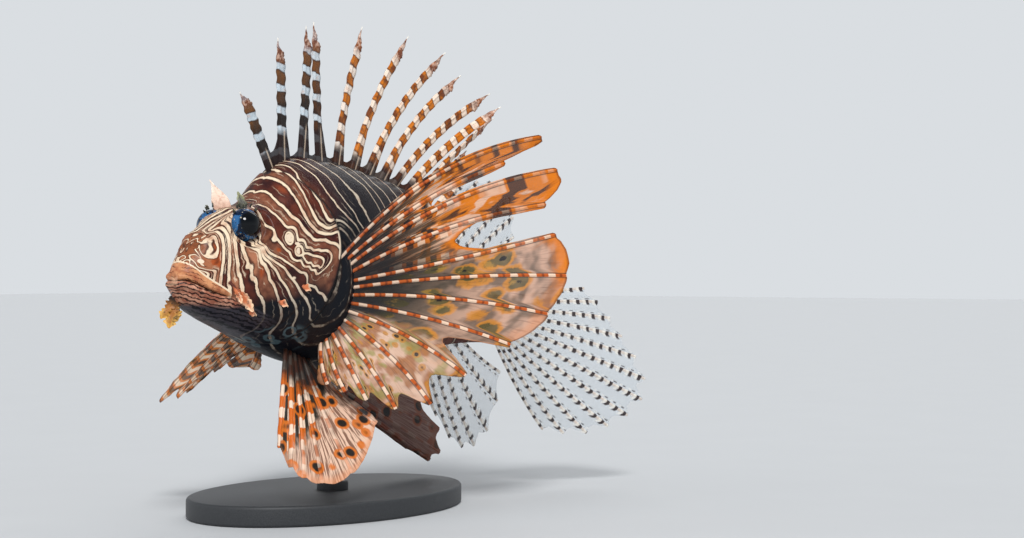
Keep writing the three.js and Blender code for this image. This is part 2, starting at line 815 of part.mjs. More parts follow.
function bellyBase(from, to) {
  return (f) => {
    const station = mix(from, to, f);
    return place(station, 0, bottomAt(station) + sunk);
  };
}

const softDorsal = {
  rays: 7,
  lobes: [[0, 6]],
  rows: 5,
  between: oneBetween,
  root: -0.2,
  base: backBase(168, 194),
  azimuth: [turnAt(168) + 2, turnAt(178) + 2, turnAt(186) + 2, turnAt(194) + 2],
  elevation: [50, 50, 46, 38],
  length: [30, 44, 48, 36],
  bow: [0.03, 0.03, 0.03, 0.03],
  membrane: [0.96],
  scallop: 1.5,
  shaft: [1.5, 0.8],
  skin: 0.6,
  lead: even(0.7),
  trail: even(0.7),
};

const anal = {
  ...softDorsal,
  rays: 8,
  lobes: [[0, 7]],
  base: bellyBase(157, 190),
  azimuth: [turnAt(157) + 2, turnAt(168) + 1, turnAt(180), turnAt(190)],
  elevation: [-63, -64, -56, -28],
  length: [22, 52, 56, 33],
  bow: [-0.03, -0.03, -0.03, -0.03],
};

const caudal = {
  ...softDorsal,
  rays: 12,
  lobes: [[0, 11]],
  rows: 5,
  root: -0.02,
  base: (f) => place(bodyLength - sunk, 0, mix(8, -10, f)),
  azimuth: [30, 34, 36, 34, 30],
  elevation: [12, -5, -20, -37, -56],
  length: [50, 68, 88, 77, 53],
  bow: [0.02, 0.01, 0, -0.01, -0.03],
};

// Spiny dorsal fin: 13 long free spines, each with a strip of skin behind it that widens
// into a small flag at the tip and a foot at the root, joined by a low web.
const spineStations = [55, 61, 73, 86, 97, 108, 118, 128, 137, 145, 152.5, 159, 164];
const spineSkin = {
  lead: [1.3, 0.9],
  strip: [2.3, 1.3],
  tip: 0.4,
  flag: { size: 1.1, at: 0.88, reach: 0.08 },
  foot: { size: 2.4, end: 0.19, first: 1, last: 7 },
};

function spineTrail(t, r) {
  const { strip, flag: end, foot } = spineSkin;
  if (t > tip.from) {
    return spineSkin.tip;
  }
  const width = mix(strip[0], strip[1], Math.min(1, r / 5));
  const widening = end.size * Math.exp(-(((t - end.at) / end.reach) ** 2));
  const hasFoot = r >= foot.first && r <= foot.last;
  const share = Math.max(0, (foot.end - t) / (foot.end - spinyDorsal.root));
  return width + widening + (hasFoot ? foot.size * share : 0);
}

const spinyDorsal = {
  rays: spineStations.length,
  lobes: spineStations.map((_, r) => [r, r]),
  rows: 5,
  root: -0.1,
  base: (f) => {
    const station = along(spineStations, f);
    return place(station, 0, topAt(station) - sunk);
  },
  azimuth: [1, 1, 1, 1, 1, 1, 2, 2, 3, 3, 10, -5, 10],
  elevation: [124, 97, 91, 98, 79, 63, 52, 47, 39, 37, 43.5, 42, 50],
  length: [40, 57, 62, 65, 70, 80, 88, 84, 91, 90, 71, 53, 28],
  bow: [0, 0, -0.01, 0.01, 0.03, 0.05, 0.06, 0.06, 0.055, 0.045, 0.035, 0.03, 0],
  membrane: [0.19, 0.08, 0.08, 0.07, 0.07, 0.07, 0.07, 0.07, 0.07, 0.08, 0.12, 0.2],
  shaft: [2.6, 0.8],
  skin: 0.7,
  lead: (t) => (t > tip.from ? spineSkin.tip : mix(...spineSkin.lead, Math.max(0, t))),
  trail: spineTrail,
};

// The head again, pushed out by the clearance with its lips, for cutting what grows from it.
const headCore = closedRings(headRows(clearance), snoutTip(clearance), middleOf(gillCore.station));
const headForLeaves = solidOf(headCore)
  .add(lipSolid(mouth.upperLip, clearance))
  .add(lipSolid(mouth.lowerLip, clearance))
  .add(eyeRimSolid(-1, clearance))
  .add(eyeRimSolid(1, clearance));

// The free leaves of skin over the eyes and beside the mouth, their faces turned to the side.
const leafAcross = new THREE.Vector3(0.6, -0.8, 0);

function freeLeaf(root, direction, size) {
  const way = new THREE.Vector3(...direction).normalize();
  const across = leafAcross.clone().addScaledVector(way, -leafAcross.dot(way)).normalize();
  const blade = leafSolid(root, way, across, { ...size, sink: 3, thickness: 1 });
  return largestBody(blade.subtract(headForLeaves));
}

// Stand
function standBaseGeometry() {
  const outline = new THREE.Shape();
  const long = stand.length / 2 - stand.edge;
  const wide = stand.width / 2 - stand.edge;
  outline.absellipse(0, 0, long, wide, 0, 2 * Math.PI);
  const plate = new THREE.ExtrudeGeometry(outline, {
    depth: stand.thickness - 2 * stand.edge,
    bevelSize: stand.edge,
    bevelThickness: stand.edge,
    bevelSegments: 1,
    curveSegments: 20,
  });
  plate.translate(0, 0, stand.edge);
  const { collarRadius, collarHeight, collarChamfer } = stand;
  const collarOutline = [
    [0, -collarChamfer],
    [collarRadius, -collarChamfer],
    [collarRadius, collarHeight - collarChamfer],
    [collarRadius - collarChamfer, collarHeight],
    [0, collarHeight],
  ].map(([r, z]) => new THREE.Vector2(r, z));
  const collar = new THREE.LatheGeometry(collarOutline, 24);
  collar.rotateX(Math.PI / 2);
  collar.translate(0, stand.rodSide, stand.thickness);
  return largestBody(solidOf(plate).add(solidOf(collar)));
}

function standRodGeometry(bodyPlace) {
  const bottom = stand.thickness + stand.collarHeight + clearance;
  const top = stand.thickness + stand.snoutAboveBase;
  const rod = new THREE.CylinderGeometry(stand.rodRadius, stand.rodRadius, top - bottom, 20);
  rod.rotateX(Math.PI / 2);
  rod.translate(0, stand.rodSide, (top + bottom) / 2);
  return largestBody(solidOf(rod).subtract(cutter.transform(bodyPlace.elements)));
}

const material = (color, roughness, options = {}) =>
  new THREE.MeshStandardMaterial({ color, roughness, metalness: 0, ...options });

const finishes = {
  head: material(0x6e4434, 0.45),
  trunk: material(0x4a2a28, 0.45),
  tail: material(0x8c5a48, 0.5),
  eye: material(0x0b1420, 0.08),
  pectoral: material(0xc98a5a, 0.5),
  pelvic: material(0xd0824c, 0.5),
  spines: material(0x8a4f30, 0.5),
  softFin: material(0xc9d4dc, 0.4),
  tentacle: material(0xd8a890, 0.55),
  cirrus: material(0xb98232, 0.6),
  stand: material(0x24262a, 0.6),
  rod: material(0xb8babd, 0.3, { metalness: 0.9 }),
};

const fish = new THREE.Group();
fish.rotation.y = noseUp;
fish.position.set(-stand.rodStation, 0, stand.thickness + stand.snoutAboveBase);
fish.updateMatrix();

function add(parent, name, geometry, finish) {
  const mesh = new THREE.Mesh(geometry, finish);
  mesh.name = name;
  parent.add(mesh);
  return mesh;
}

add(fish, "head", headGeometry(), finishes.head);
add(fish, "trunk", trunkGeometry(), finishes.trunk);
add(fish, "tail_stem", tailGeometry(), finishes.tail);
for (const [name, side] of [
  ["left", -1],
  ["right", 1],
]) {
  const ball = new THREE.SphereGeometry(eye.radius, 16, 10);
  add(fish, "eye_" + name, ball, finishes.eye).position.copy(eyePlace(side));
  const tentacle = brow[name];
  const root = new THREE.Vector3(...tentacle.root);
  const blade = freeLeaf(root, tentacle.direction, tentacle);
  add(fish, "brow_tentacle_" + name, blade, finishes.tentacle);
  const flap = cirrus[name];
  const corner = sidePoint(flap.x, flap.z, side);
  add(fish, "mouth_cirrus_" + name, freeLeaf(corner, flap.direction, flap), finishes.cirrus);
}
add(fish, "spiny_dorsal_fin", finGeometry(spinyDorsal), finishes.spines);
add(fish, "soft_dorsal_fin", finGeometry(softDorsal), finishes.softFin);
add(fish, "anal_fin", finGeometry(anal), finishes.softFin);
add(fish, "caudal_fin", finGeometry(caudal), finishes.softFin);
add(fish, "pectoral_fin_left", finGeometry(pectoralLeft), finishes.pectoral);
add(fish, "pectoral_fin_right", finGeometry(pectoralRight), finishes.pectoral);
add(fish, "pelvic_fin_left", finGeometry(pelvicLeft), finishes.pelvic);
add(fish, "pelvic_fin_right", finGeometry(pelvicRight), finishes.pelvic);

const model = new THREE.Group();
model.add(fish);
add(model, "stand_base", standBaseGeometry(), finishes.stand);
add(model, "stand_rod", standRodGeometry(fish.matrix), finishes.rod);

export default model;
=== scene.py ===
# Red lionfish (Pterois volitans), life size: skin, fins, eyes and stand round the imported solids.
import math
from types import SimpleNamespace

import bpy
import numpy as np
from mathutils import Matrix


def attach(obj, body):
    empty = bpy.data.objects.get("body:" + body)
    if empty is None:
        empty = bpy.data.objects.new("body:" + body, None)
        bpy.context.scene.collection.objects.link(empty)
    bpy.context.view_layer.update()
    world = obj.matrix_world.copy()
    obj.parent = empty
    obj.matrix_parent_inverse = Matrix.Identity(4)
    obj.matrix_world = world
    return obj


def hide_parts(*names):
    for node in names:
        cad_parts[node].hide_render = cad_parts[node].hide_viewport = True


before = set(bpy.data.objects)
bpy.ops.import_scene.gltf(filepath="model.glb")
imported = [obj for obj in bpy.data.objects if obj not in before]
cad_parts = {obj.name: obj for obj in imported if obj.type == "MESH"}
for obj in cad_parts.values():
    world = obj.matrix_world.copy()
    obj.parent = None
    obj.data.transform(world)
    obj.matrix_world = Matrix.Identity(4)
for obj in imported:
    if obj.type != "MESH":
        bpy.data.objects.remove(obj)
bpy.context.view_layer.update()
print("frame loaded:", len(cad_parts), "solids")


# numbers and curves

# cubic through (xs, ys); each inner slope is its two neighbours' slopes, weighted by the gaps
def curve(xs, ys, x):
    xs, ys, x = np.asarray(xs, float), np.asarray(ys, float), np.asarray(x, float)
    gap = np.diff(xs)
    slope = np.diff(ys) / gap
    tangent = np.empty(len(xs))
    tangent[0], tangent[-1] = slope[0], slope[-1]
    tangent[1:-1] = (slope[:-1] * gap[1:] + slope[1:] * gap[:-1]) / (gap[:-1] + gap[1:])
    i = np.clip(np.searchsorted(xs, x, side="left") - 1, 0, len(xs) - 2)
    t = np.clip((x - xs[i]) / gap[i], 0, 1)
    s = 1 - t
    return ((1 + 2 * t) * s * s * ys[i] + t * s * s * gap[i] * tangent[i]
            + t * t * (3 - 2 * t) * ys[i + 1] - t * t * s * gap[i] * tangent[i + 1])


# the same cubic through values that are evenly spaced over 0 to 1
def along(values, f):
    return curve(np.linspace(0, 1, len(values)), values, f)


def mix(a, b, t):  # a + (b - a)·t
    return a + (b - a) * t


def ease(x, low, high):  # 3t² - 2t³ with t the share of the way from low to high
    t = np.clip((x - low) / (high - low), 0, 1)
    return t * t * (3 - 2 * t)


def hump(x, centre, reach):  # exp(-((x - centre) / reach)²)
    return np.exp(-((x - centre) / reach) ** 2)


def unit(v):  # v / |v|
    return v / np.maximum(np.linalg.norm(v, axis=-1, keepdims=True), 1e-9)


def dot(a, b):  # the sum of a·b over the last axis
    return (a * b).sum(-1, keepdims=True)


def vectors(*parts):  # parts of x, y and z, spread to one shape
    return np.stack(np.broadcast_arrays(*parts), -1).astype(float)


# the body, in millimetres along the fish: x back from the snout, y to its right, z up

body = {
    "noseUp": 5.4,
    "snoutPlace": (-98, 0, 104),
    "tailSwing": 12,
    "swingStart": 100,
    "length": 216,
    "axisEnds": (-10, 240),
    # station, back, belly, half width, share of the height where widest, roundness above, below
    "sections": [
        (0, 3, -4, 3, 0.5, 2, 2), (4, 10, -8, 6.5, 0.47, 2, 2.1),
        (10, 18, -12, 10.5, 0.42, 2.1, 2.3), (20, 26, -15.5, 15, 0.4, 2.3, 2.4),
        (32, 33, -18.5, 19.8, 0.38, 2.3, 2.4), (44, 40, -22, 22.5, 0.38, 2.1, 2.3),
        (56, 54, -26, 24.5, 0.38, 1.9, 2.2), (70, 60, -29.5, 26, 0.4, 1.85, 2.1),
        (85, 61, -31, 26, 0.42, 1.8, 2.1), (100, 61, -31.5, 25, 0.44, 1.8, 2.1),
        (120, 59.5, -30.5, 21.5, 0.46, 1.8, 2.1), (143, 56, -26, 16.5, 0.46, 1.85, 2.1),
        (165, 46, -19.5, 11.5, 0.46, 1.9, 2), (185, 29, -15, 7.5, 0.46, 2, 2),
        (202, 16.5, -13, 5.2, 0.48, 2, 2), (216, 11, -12.5, 4, 0.5, 2, 2),
    ],
    # centre, reach and height of the eye mound, hollow between the eyes, snout bump, cheek,
    # cheek ridge and pectoral pad
    "swellings": [
        ((30.5, 10.5, 25), (9, 8, 9), 3.5), ((31, 0, 31), (11, 4.5, 9), -2),
        ((12, 6, 18), (6, 4, 4), 1.2), ((50, 24, -6), (16, 9, 12), 1.2),
        ((42, 21, 9), (20, 7, 3.2), 1.1), ((79, 25, -1), (5, 9, 20), 1.8),
    ],
    "gillAngle": (0, 0.6, 1.2, 1.6, 2.3, math.pi),
    "gillStation": (51, 60, 74.5, 70, 58, 46),
    "gillFlare": 1.3,
    "gillLeast": 0.15,
    "gillReach": 7,
}
sectionTable = np.array(body["sections"], float).T
noseUp = math.radians(body["noseUp"])


def toWorld(points):  # turned nose up about the snout, set on the stand, in metres
    x, y, z = np.moveaxis(np.asarray(points, float), -1, 0)
    sx, sy, sz = body["snoutPlace"]
    c, s = math.cos(noseUp), math.sin(noseUp)
    return vectors(sx + x * c + z * s, sy + y, sz - x * s + z * c) / 1000


def heading(station):  # the axis's turn to the left: swing·(3t² - 2t³) from the swing's start
    return math.radians(body["tailSwing"]) * ease(station, body["swingStart"], body["length"])


axisStation = np.arange(body["axisEnds"][0], body["axisEnds"][1] + 1)
axisTurn = heading(axisStation[1:] - 0.5)
axisX = np.concatenate([[0], np.cumsum(np.cos(axisTurn))]) + axisStation[0]
axisY = np.concatenate([[0], -np.cumsum(np.sin(axisTurn))])


def place(station, side, z):  # the axis's point, plus side along its normal, at height z
    turn = heading(station)
    x = np.interp(station, axisStation, axisX) + np.sin(turn) * side
    y = np.interp(station, axisStation, axisY) + np.cos(turn) * side
    return vectors(x, y, z)


def topAt(station):  # the curve through the sections' backs
    return curve(sectionTable[0], sectionTable[1], station)


def bottomAt(station):  # the curve through the sections' bellies
    return curve(sectionTable[0], sectionTable[2], station)


def gillAt(angle):  # station of the gill edge at an angle round the body
    fromBack = np.abs(np.arctan2(np.sin(angle), np.cos(angle)))
    return curve(body["gillAngle"], body["gillStation"], fromBack)


def gillFlare(angle):  # flare·(least + (1 - least)·sin²)
    return body["gillFlare"] * mix(body["gillLeast"], 1, np.sin(angle) ** 2)


# superellipse |y/w|^p + |z/h|^p = 1 at each station, pushed along its normal by the swellings;
# the angle is 0 at the back and a quarter turn on the left side
def bodyPoint(station, angle, push=0.0):
    top, bottom, width, share, upper, lower = (
        curve(sectionTable[0], sectionTable[k], station) for k in range(1, 7))
    middle = mix(bottom, top, share)
    c, s = np.cos(angle), np.sin(angle)
    height = np.where(c >= 0, top - middle, middle - bottom)
    power = np.where(c >= 0, upper, lower)
    y = -width * np.sign(s) * np.abs(s) ** (2 / power)
    z = middle + height * np.sign(c) * np.abs(c) ** (2 / power)
    ny = -np.sign(s) * np.abs(s) ** (2 - 2 / power) / width
    nz = np.sign(c) * np.abs(c) ** (2 - 2 / power) / height
    size = np.hypot(ny, nz)
    push = push + 0 * y
    for centre, reach, rise in body["swellings"]:
        near = hump(station, centre[0], reach[0]) * hump(np.abs(y), centre[1], reach[1])
        push = push + rise * near * hump(z, centre[2], reach[2])
    return place(station, y + ny / size * push, z + nz / size * push)


# the body's point on one side at a height, by halving the angle
def sidePoint(station, z, side, push=0.0, halvings=24):
    high, low = 0.0, math.pi
    for _ in range(halvings):
        middle = (high + low) / 2
        above = bodyPoint(station, middle, push)[..., 2] > z
        high, low = np.where(above, middle, high), np.where(above, low, middle)
    return bodyPoint(station, (high + low) / 2, push) * np.array([1, -side, 1])


# meshes from grids

# quads between neighbouring rows and columns; the last column joins the first when it is closed
def gridFaces(rows, columns, closed=False):
    i = np.arange(rows - 1)[:, None] * columns
    j = np.arange(columns if closed else columns - 1)[None, :]
    k = (j + 1) % columns
    return np.stack([i + j, i + k, i + columns + k, i + columns + j], -1).reshape(-1, 4)


# a tube of rows round an axis with a point at each end: quads, then fans of triangles
def closedTube(grid, start, end):
    rows, columns = grid.shape[:2]
    points = np.concatenate([grid.reshape(-1, 3), [start], [end]])
    j = np.arange(columns)
    k = (j + 1) % columns
    first, last = rows * columns, rows * columns + 1
    base = (rows - 1) * columns
    opening = np.stack([first + 0 * j, k, j], -1)
    closing = np.stack([last + 0 * j, base + j, base + k], -1)
    return points, [gridFaces(rows, columns, True), np.concatenate([opening, closing])]


# a sheet's two faces, centre ± normal·thickness/2, joined all round its border
def closedSheet(centre, normal, thick):
    wide, high = thick.shape
    half = normal * thick[..., None] / 2
    points = np.concatenate([(centre + half).reshape(-1, 3), (centre - half).reshape(-1, 3)])
    front = gridFaces(wide, high)
    index = np.arange(wide * high).reshape(wide, high)
    ring = np.concatenate([index[0, :-1], index[:-1, -1], index[-1, :0:-1], index[:0:-1, 0]])
    after = np.roll(ring, -1)
    back = wide * high
    rim = np.stack([ring, ring + back, after + back, after], -1)
    return points, [np.concatenate([front, front[:, ::-1] + back, rim])]


# a sheet as a shell in the world; its fields are spread to its grid and given to both faces
def sheetShell(centre, normal, thick, fields):
    shape = centre.shape[:2]
    points, faces = closedSheet(centre, normal, np.broadcast_to(thick, shape))
    values = {key: np.tile(np.broadcast_to(field, shape).ravel(), 2) for key, field in fields.items()}
    return toWorld(points), faces, values


def turnedOut(points, faces):  # faces reversed where the volume, sum of a·(b × c)/6, is below 0
    volume = 0
    for part in faces:
        for k in range(1, part.shape[1] - 1):
            a, b, c = points[part[:, 0]], points[part[:, k]], points[part[:, k + 1]]
            volume += (a * np.cross(b, c)).sum()
    return faces if volume > 0 else [part[:, ::-1] for part in faces]


# one piece from closed shells (points, faces, attributes); it rides on the root body
def makePiece(name, shells, material, replaces=()):
    points, faces, start = [], [], 0
    fields = {key: [] for key in shells[0][2]}
    for shellPoints, shellFaces, attributes in shells:
        for part in turnedOut(shellPoints, shellFaces):
            faces.extend((part + start).tolist())
        points.append(shellPoints)
        start += len(shellPoints)
        for key, values in attributes.items():
            fields[key].append(np.asarray(values, float).ravel())
    mesh = bpy.data.meshes.new(name)
    mesh.from_pydata(np.concatenate(points).tolist(), [], faces)
    mesh.polygons.foreach_set("use_smooth", np.ones(len(mesh.polygons), bool))
    for key, values in fields.items():
        field = mesh.attributes.new(key, "FLOAT", "POINT")
        field.data.foreach_set("value", np.concatenate(values).astype(np.float32))
    mesh.materials.append(material)
    mesh.update()
    piece = bpy.data.objects.new(name, mesh)
    bpy.context.scene.collection.objects.link(piece)
    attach(piece, "root")
    if replaces:
        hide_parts(*replaces)
    return piece


# materials

class Wire:
    # a node's output; sums written with it add Math nodes
    def __init__(self, recipe, socket):
        self.recipe, self.socket = recipe, socket

    def __add__(self, other):
        return self.recipe.sum("ADD", self, other)

    def __sub__(self, other):
        return self.recipe.sum("SUBTRACT", self, other)

    def __rsub__(self, other):
        return self.recipe.sum("SUBTRACT", other, self)

    def __mul__(self, other):
        return self.recipe.sum("MULTIPLY", self, other)

    def __truediv__(self, other):
        return self.recipe.sum("DIVIDE", self, other)

    def __abs__(self):
        return self.recipe.sum("ABSOLUTE", self)

    __radd__ = __add__
    __rmul__ = __mul__


class Recipe:
    # one material: its nodes and the few patterns that its colours are mixed with
    def __init__(self, name, settings):
        self.material = bpy.data.materials.new(name)
        self.material.use_nodes = True
        self.tree = self.material.node_tree
        self.shader = next(n for n in self.tree.nodes if n.type == "BSDF_PRINCIPLED")
        self.finish(settings)
        place = self.node("ShaderNodeTexCoord", out="Object")
        self.place = self.node("ShaderNodeVectorMath", {"operation": "SCALE"}, {0: place, "Scale": 1000})

    def feed(self, socket, value):
        if isinstance(value, Wire):
            self.tree.links.new(value.socket, socket)
        elif socket.type == "RGBA":
            socket.default_value = (*value, 1)
        else:
            socket.default_value = value

    def node(self, kind, settings=None, values=None, out=0):
        made = self.tree.nodes.new(kind)
        for key, value in (settings or {}).items():
            setattr(made, key, value)
        for key, value in (values or {}).items():
            self.feed(made.inputs[key], value)
        return Wire(self, made.outputs[out])

    def sum(self, operation, *values):
        return self.node("ShaderNodeMath", {"operation": operation}, dict(enumerate(values)))

    def least(self, a, b):
        return self.sum("MINIMUM", a, b)

    def most(self, a, b):
        return self.sum("MAXIMUM", a, b)

    def wave(self, value):  # 0 to 1, once for each whole turn of the value
        return self.sum("SINE", value * (2 * math.pi)) * 0.5 + 0.5

    def aside(self, value):  # distance from the nearest whole number, 0 to 0.5
        return abs(self.sum("FRACT", value + 0.5) - 0.5)

    def rise(self, value, low, high):  # 0 below low, 1 above high, eased between
        return self.node("ShaderNodeMapRange", {"interpolation_type": "SMOOTHSTEP"},
                         {0: value, 1: low, 2: high})

    def fall(self, value, low, high):  # 1 below low, 0 above high
        return 1 - self.rise(value, low, high)

    def colours(self, mask, a, b):  # a + (b - a)·mask
        return self.node("ShaderNodeMix", {"data_type": "RGBA"}, {0: mask, 6: a, 7: b}, 2)

    def layers(self, coat, *over):  # each (mask, colour) laid over what is below it
        for mask, colour in over:
            coat = self.colours(mask, coat, colour)
        return coat

    def field(self, name):
        return self.node("ShaderNodeAttribute", {"attribute_name": name}, out="Fac")

    def fields(self, *names):
        return [self.field(name) for name in names]

    def noise(self, scale, detail=2.0, roughness=0.5, vector=None, twist=0.0):  # cells per mm
        return self.node("ShaderNodeTexNoise", {}, {"Vector": vector or self.place, "Scale": scale,
                         "Detail": detail, "Roughness": roughness, "Distortion": twist})

    def cells(self, scale, vector=None, spread=1.0):  # distance to the nearest of scattered points
        return self.node("ShaderNodeTexVoronoi", {}, {"Vector": vector or self.place, "Scale": scale,
                         "Randomness": spread}, "Distance")

    def joined(self, x, y, z=0.0):  # three values as one vector
        return self.node("ShaderNodeCombineXYZ", {}, {0: x, 1: y, 2: z})

    def bump(self, height, distance, strength=0.6):  # height times distance in metres
        return self.node("ShaderNodeBump", {}, {"Height": height, "Distance": distance, "Strength": strength})

    def finish(self, feeds):
        for key, value in feeds.items():
            self.feed(self.shader.inputs[key], value)
        return self.material


wetSkin = {"Coat Weight": 0.08, "Coat Roughness": 0.2, "Specular IOR Level": 0.25}


def paint(red, green, blue):  # a screen colour, 0 to 255, as linear light
    shares = (red / 255, green / 255, blue / 255)
    return tuple(((v + 0.055) / 1.055) ** 2.4 if v > 0.04 else v / 12.92 for v in shares)


def palette(colours):  # named screen colours as linear light
    return SimpleNamespace(**{name: paint(*value) for name, value in colours.items()})


# the camera, first of all, as everything is judged through it

camera = {"place": (-0.6735, -0.5728, 0.1081), "turn": -55, "lens": 68.55}
eyepiece = bpy.data.cameras.new("camera")
eyepiece.lens = camera["lens"]
eyepiece.sensor_width = 36
eyepiece.clip_start, eyepiece.clip_end = 0.01, 50
viewer = bpy.data.objects.new("camera", eyepiece)
viewer.location = camera["place"]
viewer.rotation_euler = (math.radians(90), 0, math.radians(camera["turn"]))
bpy.context.scene.collection.objects.link(viewer)
bpy.context.scene.camera = viewer

# the skin: one surface from the snout to the root of the tail fin

skin = {
    "around": 320, "headRows": 132, "trunkRows": 148,
    "snoutShare": 0.35, "snoutPower": 1.15, "snoutAhead": 0.2, "snoutHeight": -0.5,
    # behind the gill edge: station, share of the flare, sink of each fold row
    "gillFold": [(0.3, 0.85, 0), (0.45, 0.45, -0.1), (0.1, 0.1, -0.3), (-1.2, 0, -0.7), (-1.5, 0, -1.2),
                 (0.2, 0, -1.3), (1.2, 0, -0.7), (2.0, 0, -0.25)],
    "trunkStart": 2.8,
    "opercleAt": 0.8, "opercleWidth": 0.016, "opercleDepth": 0.45,
}
eyes = {"at": (30.5, 9.8, 25.6), "radius": 7.2, "sink": 0.85, "facing": (-0.28, 1, 0.12), "opening": 7.0,
        "lidHeight": 0.9, "lidRise": 1.7, "lidAt": 8.1, "lidWidth": 0.8, "blend": (8.5, 11.6), "cornea": 0.02}
mouth = {"x": (0, 1.6, 5.9, 9.7, 13.4, 21), "z": (-0.6, -0.3, -1.5, -3.2, -4.5, -6), "corner": 21,
         "lipTop": ((0, 8), (3, 7), (5.5, 5), (8.3, 2.5), (11, 0.7), (14.8, -1.3), (18.3, -3.2), (21, -5)),
         # each lip's place over the slit, reach and height, its share at the corner, and the slit's
         # reach and depth
         "upper": (1.6, 1.25, 1.0), "lower": (-1.8, 1.35, 1.1), "thinTo": 0.35, "slit": (0.38, 1.5)}
# station, height and radius of each, their depth, and the raised rim
nostrils = {"places": [(7.5, 14.2, 0.9), (12.5, 18, 0.7)], "depth": 1.3, "rim": 0.35, "rimWidth": 0.45}


# rows of stations round the body: the head's end at the gill edge, a fold turns in behind it,
# and the trunk's run on to the root of the tail fin
def skinRows():
    angle = np.arange(skin["around"]) * 2 * math.pi / skin["around"]
    angle = np.broadcast_to(angle, (1, skin["around"]))
    gill = gillAt(angle)
    share = np.arange(skin["headRows"])[:, None] + skin["snoutShare"]
    share = (share / (skin["headRows"] - 1 + skin["snoutShare"])) ** skin["snoutPower"]
    headStation = gill * share
    headPush = gillFlare(angle) * hump(headStation, gill, body["gillReach"])
    fold = np.array(skin["gillFold"])
    foldStation = gill + fold[:, :1]
    foldPush = gillFlare(angle) * fold[:, 1:2] + fold[:, 2:]
    t = np.linspace(0, 1, skin["trunkRows"])[:, None]
    trunkStation = mix(gill + skin["trunkStart"], body["length"] - 0.1, t)
    station = np.concatenate([headStation, foldStation, trunkStation])
    push = np.concatenate([headPush, foldPush, 0 * trunkStation])
    return station, np.broadcast_to(angle, station.shape), push


# unit normals of a tube's grid, (d/d column) × (d/d row), turned away from its axis
def tubeNormals(grid):
    down = np.gradient(grid, axis=0)
    sideways = np.roll(grid, -1, 1) - np.roll(grid, 1, 1)
    normal = unit(np.cross(sideways, down))
    middle = grid.mean(1, keepdims=True)
    return normal * np.sign(dot(normal, grid - middle).sum() or 1)


def eyeAxis(side):  # the way an eye faces; side is -1 on the fish's left
    return unit(np.array(eyes["facing"]) * (1, side, 1))


def eyeCentre(side):  # its place on the skin, sunk along its axis
    return np.array(eyes["at"]) * (1, side, 1) - eyeAxis(side) * eyes["sink"]


# lids: within reach of an eye the skin's height over the eye's middle follows
# lid + rise·exp(-((r - at)/width)²), and inside the opening it dips under the ball
def shapeLids(grid):
    for side in (-1, 1):
        centre, axis = eyeCentre(side), eyeAxis(side)
        away = grid - centre
        high = dot(away, axis)[..., 0]
        flat = away - high[..., None] * axis
        r = np.linalg.norm(flat, axis=-1)
        near = (high > -1) & (r < eyes["blend"][1]) & (grid[..., 1] * side > 0)
        lid = eyes["lidHeight"] + eyes["lidRise"] * hump(r, eyes["lidAt"], eyes["lidWidth"])
        ball = np.sqrt(np.maximum(0, eyes["radius"] ** 2 - r ** 2)) - 1
        lid = np.where(r < eyes["opening"], np.minimum(lid, ball), lid)
        lid = np.minimum(lid, high)
        shaped = mix(lid, high, ease(r, *eyes["blend"]))
        grid = np.where(near[..., None], grid + axis * (shaped - high)[..., None], grid)
    return grid


station, angle, push = skinRows()
bare = bodyPoint(station, angle, push)
normal = tubeNormals(bare)
level = bare[..., 2]
mouthStation = np.clip(station, 0, mouth["corner"])
mouthHeight = curve(mouth["x"], mouth["z"], mouthStation)


# lips, slit, nostrils and the edge of the gill cover, as heights over the bare skin, and the slit's groove
# again as the mask of its painted shade
def skinRelief():
    off = level - mouthHeight
    fade = 1 - ease(station, mouth["corner"] - 5, mouth["corner"] + 1)
    lip = fade * mix(1, mouth["thinTo"], mouthStation / mouth["corner"])
    relief = lip * sum(h * hump(off, at, wide) for at, wide, h in (mouth["upper"], mouth["lower"]))
    relief = relief - fade * mouth["slit"][1] * hump(off, 0, mouth["slit"][0])
    for x, z, radius in nostrils["places"]:
        r = np.hypot(station - x, level - z)
        rim = nostrils["rim"] * hump(r, radius * 1.5, nostrils["rimWidth"])
        relief = relief - nostrils["depth"] * hump(r, 0, radius) + rim
    share = station / gillAt(angle)
    plate = hump(share, skin["opercleAt"], skin["opercleWidth"]) * np.sin(angle) ** 2 * ease(station, 30, 40)
    return relief - skin["opercleDepth"] * plate, fade * hump(off, 0, mouth["slit"][0])


relief, slitDepth = skinRelief()
grid = shapeLids(bare + normal * relief[..., None])
print("skin shaped:", grid.shape)
